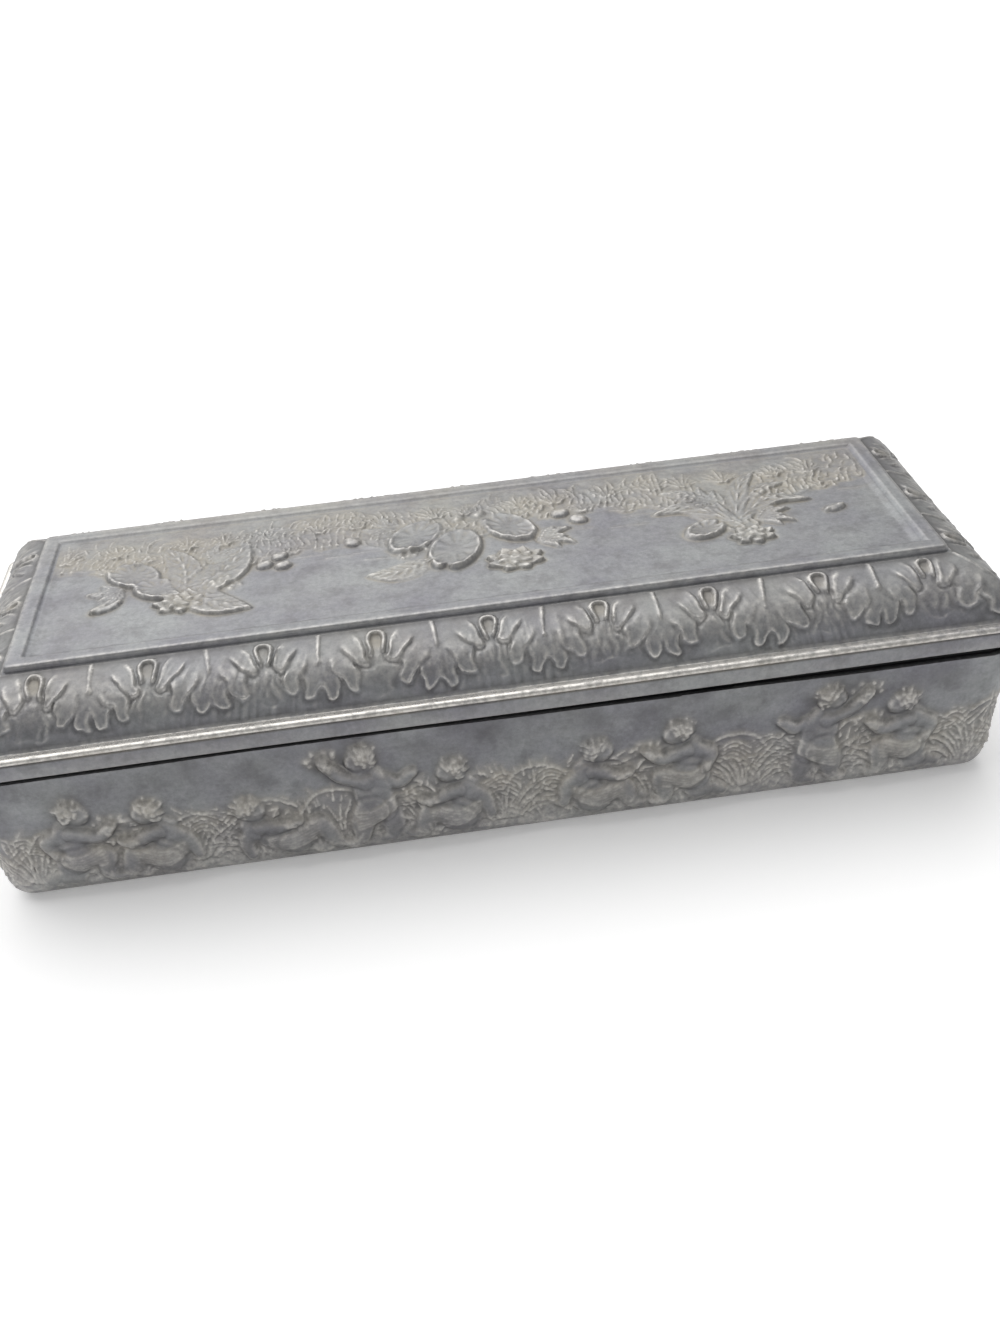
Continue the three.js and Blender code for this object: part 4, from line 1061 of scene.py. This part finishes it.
def lid_row(inset, z, crest=0, hollow=0, film=0):
    """A ring of the lid, with its finish values."""
    return plain_row(outline(inset, lid_radius(inset), HALF_LENGTH, HALF_WIDTH), z, crest, hollow, film)


def cove(x, y):
    """A soft cove where the panel meets the frame, at the ends and the back."""
    from_edge = np.minimum(PANEL_LENGTH - np.abs(x), PANEL_WIDTH - y)
    return COVE_HEIGHT * (1 - smooth(from_edge, 0, COVE_RUN))


lid_rows = []
for share in np.linspace(1, 0, CAVITY_ROWS):
    across, rise = bulge(share)
    inset = LID_RIM + (CEILING_INSET - LID_RIM) * across
    lid_rows.append(lid_row(inset, CAVITY_FOOT + (CEILING_HEIGHT - CAVITY_FOOT) * rise))
lid_rows += [lid_row(inset, PARTING + z, *values) for inset, z, *values in FLANGE_PROFILE]
ledge_rows = [lid_row(inset, PARTING + z, *values) for inset, z, *values in LEDGE_PROFILE]
# The ledge's crests are lighter towards the left.
for row in ledge_rows:
    row[3] *= 1.1 - 0.7 * smooth(row[0], -30, 95)
lid_rows += ledge_rows
border_share = (border_run / border_run[-1])[:, None]
border_rubbed = 0.42 * smooth(border_share, 0.18, 0.4) * (1 - 0.8 * smooth(border_share, 0.55, 0.8))
border_values = finish_values(border_height, border_film, np.gradient(border_run), border_rubbed,
                              lit=0.2, fine_dark=0.7, bright=(1.1, 0.4))
# Painted shade in the hollows is lighter on the rounded part of the border, and lighter still higher up.
lightened = 0.3 * smooth(border_share, 0.15, 0.3) * (1 + 1.3 * smooth(border_share, 0.5, 0.7))
border_values[:, 1] *= 1 - lightened
# Painted shadow along the top of the border, under the edge of the frame.
painted_shade_under_frame = 0.3 * smooth(border_share, 0.75, 0.9) + 0.6 * smooth(border_share, 0.88, 1.0)
border_values[:, 1] = np.clip(border_values[:, 1] + painted_shade_under_frame, 0, 1)
border_rows = zip(border_rings, border_z, border_out, border_up, border_height, border_values)
lid_rows += [relief_row(*row) for row in border_rows]
frame_rows = [lid_row(inset, TOP - z, *values) for inset, z, *values in FRAME_PROFILE]
# More dust lies along the back of the frame.
for row in frame_rows:
    row[5] += 0.4 * smooth(row[1], 15, 24)
lid_rows += frame_rows
lid_rows[-1][2] += cove(*lid_rows[-1][:2])
on_bank = smooth(from_shore, -1, 2)
panel_values = finish_values(panel.height, panel.film + 0.08, wear_and_highlight=0.06 - 0.14 * on_bank)
panel_values = panel_values.transpose(1, 0, 2)
# In the panel's hollows there is more tan dirt than shade.
panel_values[2] = np.clip(panel_values[2] + 0.95 * panel_values[1], 0, 1)
panel_values[1] *= 0.4
panel_z = TOP - FRAME_STEP + panel.height + cove(px, py)
lid = cast("lid_casting_relief", lid_rows, np.stack([px, py, panel_z, *panel_values]))
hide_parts("lid_casting")
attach(lid, "lid")

# %% Base casting
BASE_WALL, BASE_FLOOR, SHADOW_DEPTH = 3.4, 2.8, 1.2


def base_row(inset, z, crest=0, hollow=0, film=0):
    """A ring of the tray, with its finish values."""
    ring = outline(inset, max(1.0, BASE_CORNER - inset), BASE_LENGTH, BASE_WIDTH)
    return plain_row(ring, z, crest, hollow, film)


def seat_unevenly(row):
    """The real lid sits a little proud on the right, so the dark gap under it widens that way."""
    lift = 0.72 - smooth(row[0], -30, 95)
    row[2] += lift * smooth(row[2], 18, SHOULDER)
    return row


foot_rubbed = 0.55 * (1 - smooth(wall_z[:, None], 4, 14))
wall_film = frieze.film * (0.25 + 0.7 * smooth(fv, 3, 12))
# The frieze's crests and what faces up get a painted highlight, and its hollows and what faces down get painted
# shade.
wall_values = finish_values(frieze.height, wall_film, np.gradient(wall_z), foot_rubbed,
                            lit=0.5, fine_dark=0.25, bright=(1.5, 0.2))
# Smooth flesh is darker than grass and hair, and the plain band has old stains.
skin = blur(frieze.skin, 2)
wall_values[:, 0] *= 1 - 0.8 * skin
stained = smooth(wall_z[:, None], 18, 27) * (0.35 + 0.18 * blotches(frieze.height.shape))
wall_values[:, 1] = np.clip(wall_values[:, 1] + 0.22 * skin + stained, 0, 1)
wall_rows = zip(wall_rings, wall_z, wall_out, -wall_down, frieze.height, wall_values)
base_rows = [relief_row(*row) for row in wall_rows]
# The step under the lid's flange is painted black with a hollow of 2, as the shade inside the gap.
base_rows += [base_row(0.12, SHOULDER + 0.02, 0.4), base_row(0.35, SHOULDER + 0.12, 0.2, 0.4),
              base_row(SHADOW_DEPTH, SHOULDER + 0.12, 0, 2)]
base_rows = [seat_unevenly(row) for row in base_rows]
base_rows += [base_row(SHADOW_DEPTH, PARTING, 0, 2), base_row(BASE_WALL, PARTING, 0.2)]
for z in (SHOULDER, BASE_FLOOR):
    base_rows.append(base_row(BASE_WALL + BASE_TAPER * (SHOULDER - z) / SHOULDER, z))
base = cast("base_casting_relief", base_rows)
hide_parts("base_casting")
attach(base, "base")

# %% [markdown]
# ## Hinges
# Two short tube hinges are let into the parting line at the back. Each has two knuckles soldered to the
# tray, one soldered to the lid, and a pin through all three. A knuckle is a ring of points swept along the
# axis, with eased ends. The solder that holds it is a thin bead in the seat.

# %% Brass, steel and solder
def worn_metal(name, dark, light, roughness):
    f = Finish(name)
    patches = f.span(f.noise(260, 5, 0.6), 0.36, 0.64)
    f.shade(Base_Color=f.mix(patches, dark, light), Metallic=0.95)
    f.shade(Roughness=f.span(patches, 0, 1, roughness + 0.14, roughness))
    f.bump(f.noise(900, 3, 0.5, (0.15, 1, 1)), 0.2, 0.00005)
    return f.material


brass = worn_metal("hinge_brass", (0.19, 0.14, 0.07), (0.42, 0.33, 0.17), 0.36)
steel = worn_metal("pin_steel", (0.2, 0.19, 0.18), (0.4, 0.4, 0.39), 0.32)
solder_grey = worn_metal("solder", (0.2, 0.2, 0.2), (0.36, 0.36, 0.355), 0.4)
print("metals:", brass.name, steel.name, solder_grey.name)

# %% Hinge pieces
KNUCKLE_RADIUS, KNUCKLE_LENGTH, KNUCKLE_GAP = 1.6, 8.0, 0.3
BORE_RADIUS, PIN_RADIUS = 0.82, 0.75
PIN_LENGTH = 3 * KNUCKLE_LENGTH + 2 * KNUCKLE_GAP
KNUCKLE_SIDES, PIN_SIDES = 48, 24
SOLDER_ROWS, SOLDER_POINTS = 24, 14
HINGE_SHARP_ANGLE = math.radians(50)


def knuckle(name, middle):
    """A short tube with eased ends."""
    half = KNUCKLE_LENGTH / 2
    section = [
        (BORE_RADIUS, 0.1), (BORE_RADIUS + 0.1, 0),
        (KNUCKLE_RADIUS - 0.22, 0), (KNUCKLE_RADIUS - 0.07, 0.07), (KNUCKLE_RADIUS, 0.22),
    ]
    rings = [(radius, middle - half + ease) for radius, ease in section]
    rings += [(radius, middle + half - ease) for radius, ease in reversed(section)]
    return lathe(name, [round_the_axis(x, radius, KNUCKLE_SIDES) for radius, x in rings], True, brass)


def pin(name, middle):
    """A round wire with domed, lightly hammered ends."""
    half = PIN_LENGTH / 2
    dome = [(0.2, 0), (0.5, 0.06), (0.68, 0.16), (PIN_RADIUS, 0.32)]
    rings = [(radius, middle - half + ease) for radius, ease in dome]
    rings += [(radius, middle + half - ease) for radius, ease in reversed(dome)]
    return lathe(name, [round_the_axis(x, radius, PIN_SIDES) for radius, x in rings], False, steel)


def solder(name, middle, start, end):
    """A bead of solder in the seat, between two angles about the axis, uneven along its edges."""
    rows = []
    lip = 0.32 * np.sin(np.linspace(0, math.pi, SOLDER_POINTS)) ** 0.5
    radius = np.concatenate([KNUCKLE_RADIUS - 0.03 + lip, np.full(SOLDER_POINTS, KNUCKLE_RADIUS - 0.06)])
    for x in np.linspace(-0.47, 0.47, SOLDER_ROWS) * KNUCKLE_LENGTH:
        wave = 0.07 * math.sin(2.3 * x + middle) + 0.04 * math.sin(5.1 * x)
        angle = np.linspace(start + wave, end - wave, SOLDER_POINTS)
        angle = np.concatenate([angle, angle[::-1]])
        y, z = HINGE_Y + radius * np.cos(angle), HINGE_Z + radius * np.sin(angle)
        rows.append(np.stack([np.full(len(angle), middle + x), y, z], 1) * MM)
    return lathe(name, rows, False, solder_grey)


def on_body(piece, body, slot, *nodes):
    """Says what a piece moves with and which CAD nodes it stands for. slot, the name of its finish, is not
    used.
    """
    piece.data.shade_smooth()
    piece.data.set_sharp_from_angle(angle=HINGE_SHARP_ANGLE)
    if nodes:
        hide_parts(*nodes)
    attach(piece, body)


KNUCKLE_PITCH = KNUCKLE_LENGTH + KNUCKLE_GAP
BASE_SEAT, LID_SEAT = np.radians((192, 285)), np.radians((82, 170))
for side, side_name in ((-1, "left"), (1, "right")):
    middle = side * HINGE_SPREAD
    on_body(pin(f"hinge_{side_name}_pin_wire", middle), "base", "pin_steel", f"hinge_{side_name}_pin")
    for part, body, offset, seat in (("base_knuckle_outer", "base", side * KNUCKLE_PITCH, BASE_SEAT),
                                     ("lid_knuckle", "lid", 0, LID_SEAT),
                                     ("base_knuckle_inner", "base", -side * KNUCKLE_PITCH, BASE_SEAT)):
        node = f"hinge_{side_name}_{part}"
        on_body(knuckle(f"{node}_tube", middle + offset), body, "hinge_brass", node)
        on_body(solder(f"{node}_solder", middle + offset, *seat), body, "white_metal")

# %% [markdown]
# ## Linings
# The tray is lined with a band of velvet over card and a padded velvet floor, and the lid with a satin pad. A
# cloth solver would do little for pads that are glued down and a few millimetres thick, so they are rings
# too: eased edges, a crown, puckers where the cloth is drawn round the edge and a slow swell in the wadding.

# %% Velvet and satin
def velvet_cloth():
    f = Finish("velvet")
    worn = f.span(f.noise(55, 4), 0.35, 0.68)
    pile = f.noise(2600, 2, 0.6)
    brushed = f.span(f.noise(120, 3, 0.5, (1, 0.4, 1)), 0.4, 0.62)
    deep = f.mix(brushed, (0.075, 0.014, 0.02), (0.125, 0.026, 0.034))
    f.shade(Base_Color=f.mix(f.maths("MULTIPLY", worn, 0.5), deep, (0.2, 0.085, 0.08)), Roughness=0.95)
    f.shade(Sheen_Weight=0.55, Sheen_Roughness=0.35, Sheen_Tint=(0.75, 0.45, 0.45), Specular_IOR_Level=0.15)
    f.bump(pile, 0.5, 0.00025)
    return f.material


def satin_cloth():
    f = Finish("satin")
    stains = f.span(f.noise(40, 5), 0.42, 0.7)
    threads = f.noise(2200, 2, 0.5, (0.3, 1, 1))
    clean = f.mix(f.span(threads, 0.3, 0.7), (0.57, 0.49, 0.385), (0.62, 0.54, 0.435))
    f.shade(Base_Color=f.mix(f.maths("MULTIPLY", stains, 0.4), clean, (0.4, 0.31, 0.2)))
    f.shade(Roughness=f.span(threads, 0.3, 0.7, 0.42, 0.54))
    f.shade(Sheen_Weight=0.4, Sheen_Roughness=0.3)
    f.bump(threads, 0.25, 0.00006)
    return f.material


velvet, satin = velvet_cloth(), satin_cloth()
print("cloths:", velvet.name, satin.name)

# %% Wall lining
CLOTH_COLUMNS = (300, 110)
LINING_GAP, LINING_THICKNESS = 0.3, 1.2
lining_foot, lining_top = (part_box("wall_lining")[k][2] / MM for k in (0, 1))


def lining_row(depth, z, ripple=0.0):
    """A ring inside the tray wall. ripple lets the pile stand a little unevenly."""
    inset = BASE_WALL + BASE_TAPER * (SHOULDER - z) / SHOULDER + depth
    ring = outline(inset, max(1.0, BASE_CORNER - inset), BASE_LENGTH, BASE_WIDTH, CLOTH_COLUMNS)
    c, side = ring[4], ring[6]
    sway = ripple * (np.sin(c / 5.3 + z / 4 + side) + 0.6 * np.sin(c / 2.1 - z / 3))
    tuck = ripple * 3 * np.exp(-((c - 30) / 0.35) ** 2) * (side == 2)
    moved = ring[:2] + ring[2:4] * (sway + tuck)
    return np.vstack([moved, np.full(moved.shape[1], z)]).T * MM


half_thick = LINING_THICKNESS / 2
band = [lining_row(LINING_GAP, z) for z in np.linspace(lining_foot, lining_top - half_thick, 6)]
for angle in np.linspace(0, math.pi, 9)[1:-1]:
    depth = LINING_GAP + half_thick * (1 - math.cos(angle))
    band.append(lining_row(depth, lining_top - half_thick * (1 - math.sin(angle)), 0.02))
band += [lining_row(LINING_GAP + LINING_THICKNESS, z, 0.06)
         for z in np.linspace(lining_top - half_thick, lining_foot, 26)]
wall_lining = lathe("wall_lining_velvet", band, True, velvet)
on_body(wall_lining, "base", "velvet", "wall_lining")
print("wall lining mm:", round(lining_foot, 2), "to", round(lining_top, 2))

# %% Floor and lid pads
PAD_EDGE, PAD_SHOULDER, PAD_CROWN, PAD_CROWN_RUN = 1.7, 0.9, 0.9, 16.0


def pad(name, node, direction, corner, material, pucker, pucker_reach):
    """A pad on a flat back, crowned along direction, with puckers round its edge."""
    low, high = (np.array(point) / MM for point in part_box(node))
    half_length, half_width = high[0], high[1]
    back = low[2] if direction > 0 else high[2]
    rows = []
    profile = [(0.5, 0.0), (0.12, 0.15), (0.0, 0.5), (0.0, 0.9), (0.12, 1.3), (0.45, 1.58),
               (PAD_SHOULDER, PAD_EDGE)]
    crown = np.linspace(0, 1, 26)[1:]
    profile += [(PAD_SHOULDER + (half_width - 2.2) * s, None) for s in crown]
    for inset, rise in profile:
        ring = outline(inset, max(0.8, corner - inset), half_length, half_width, CLOTH_COLUMNS)
        c, side = ring[4], ring[6]
        if rise is None:
            crowned = min(1.0, (inset - PAD_SHOULDER) / PAD_CROWN_RUN)
            rise = PAD_EDGE + PAD_CROWN * math.sin(math.pi / 2 * crowned)
        drawn = pucker * (np.sin(c / 1.9 + 0.8 * np.sin(c / 7)) + 0.7 * np.sin(c / 0.9 + side))
        drawn = drawn * math.exp(-((inset - 1.2) / pucker_reach) ** 2)
        swell_slow = 0.12 * np.sin(ring[0] / 19 + 0.7) * np.sin(ring[1] / 11 + 0.4) * min(1.0, inset / 6)
        height = np.maximum(rise + (drawn + swell_slow) * (rise > 0.6) - 0.15 * (rise > 1.6), 0)
        rows.append(np.vstack([ring[:2], back + direction * height]).T * MM)
    piece = lathe(name, rows if direction > 0 else rows[::-1], False, material)
    return piece


floor_pad = pad("floor_lining_velvet", "floor_lining", 1, BASE_CORNER - 5.2, velvet, 0.05, 2.2)
on_body(floor_pad, "base", "velvet", "floor_lining")
lid_pad = pad("lid_lining_satin", "lid_lining", -1, 2.4, satin, 0.2, 6.0)
on_body(lid_pad, "lid", "satin", "lid_lining")
print("pads:", floor_pad.name, lid_pad.name)
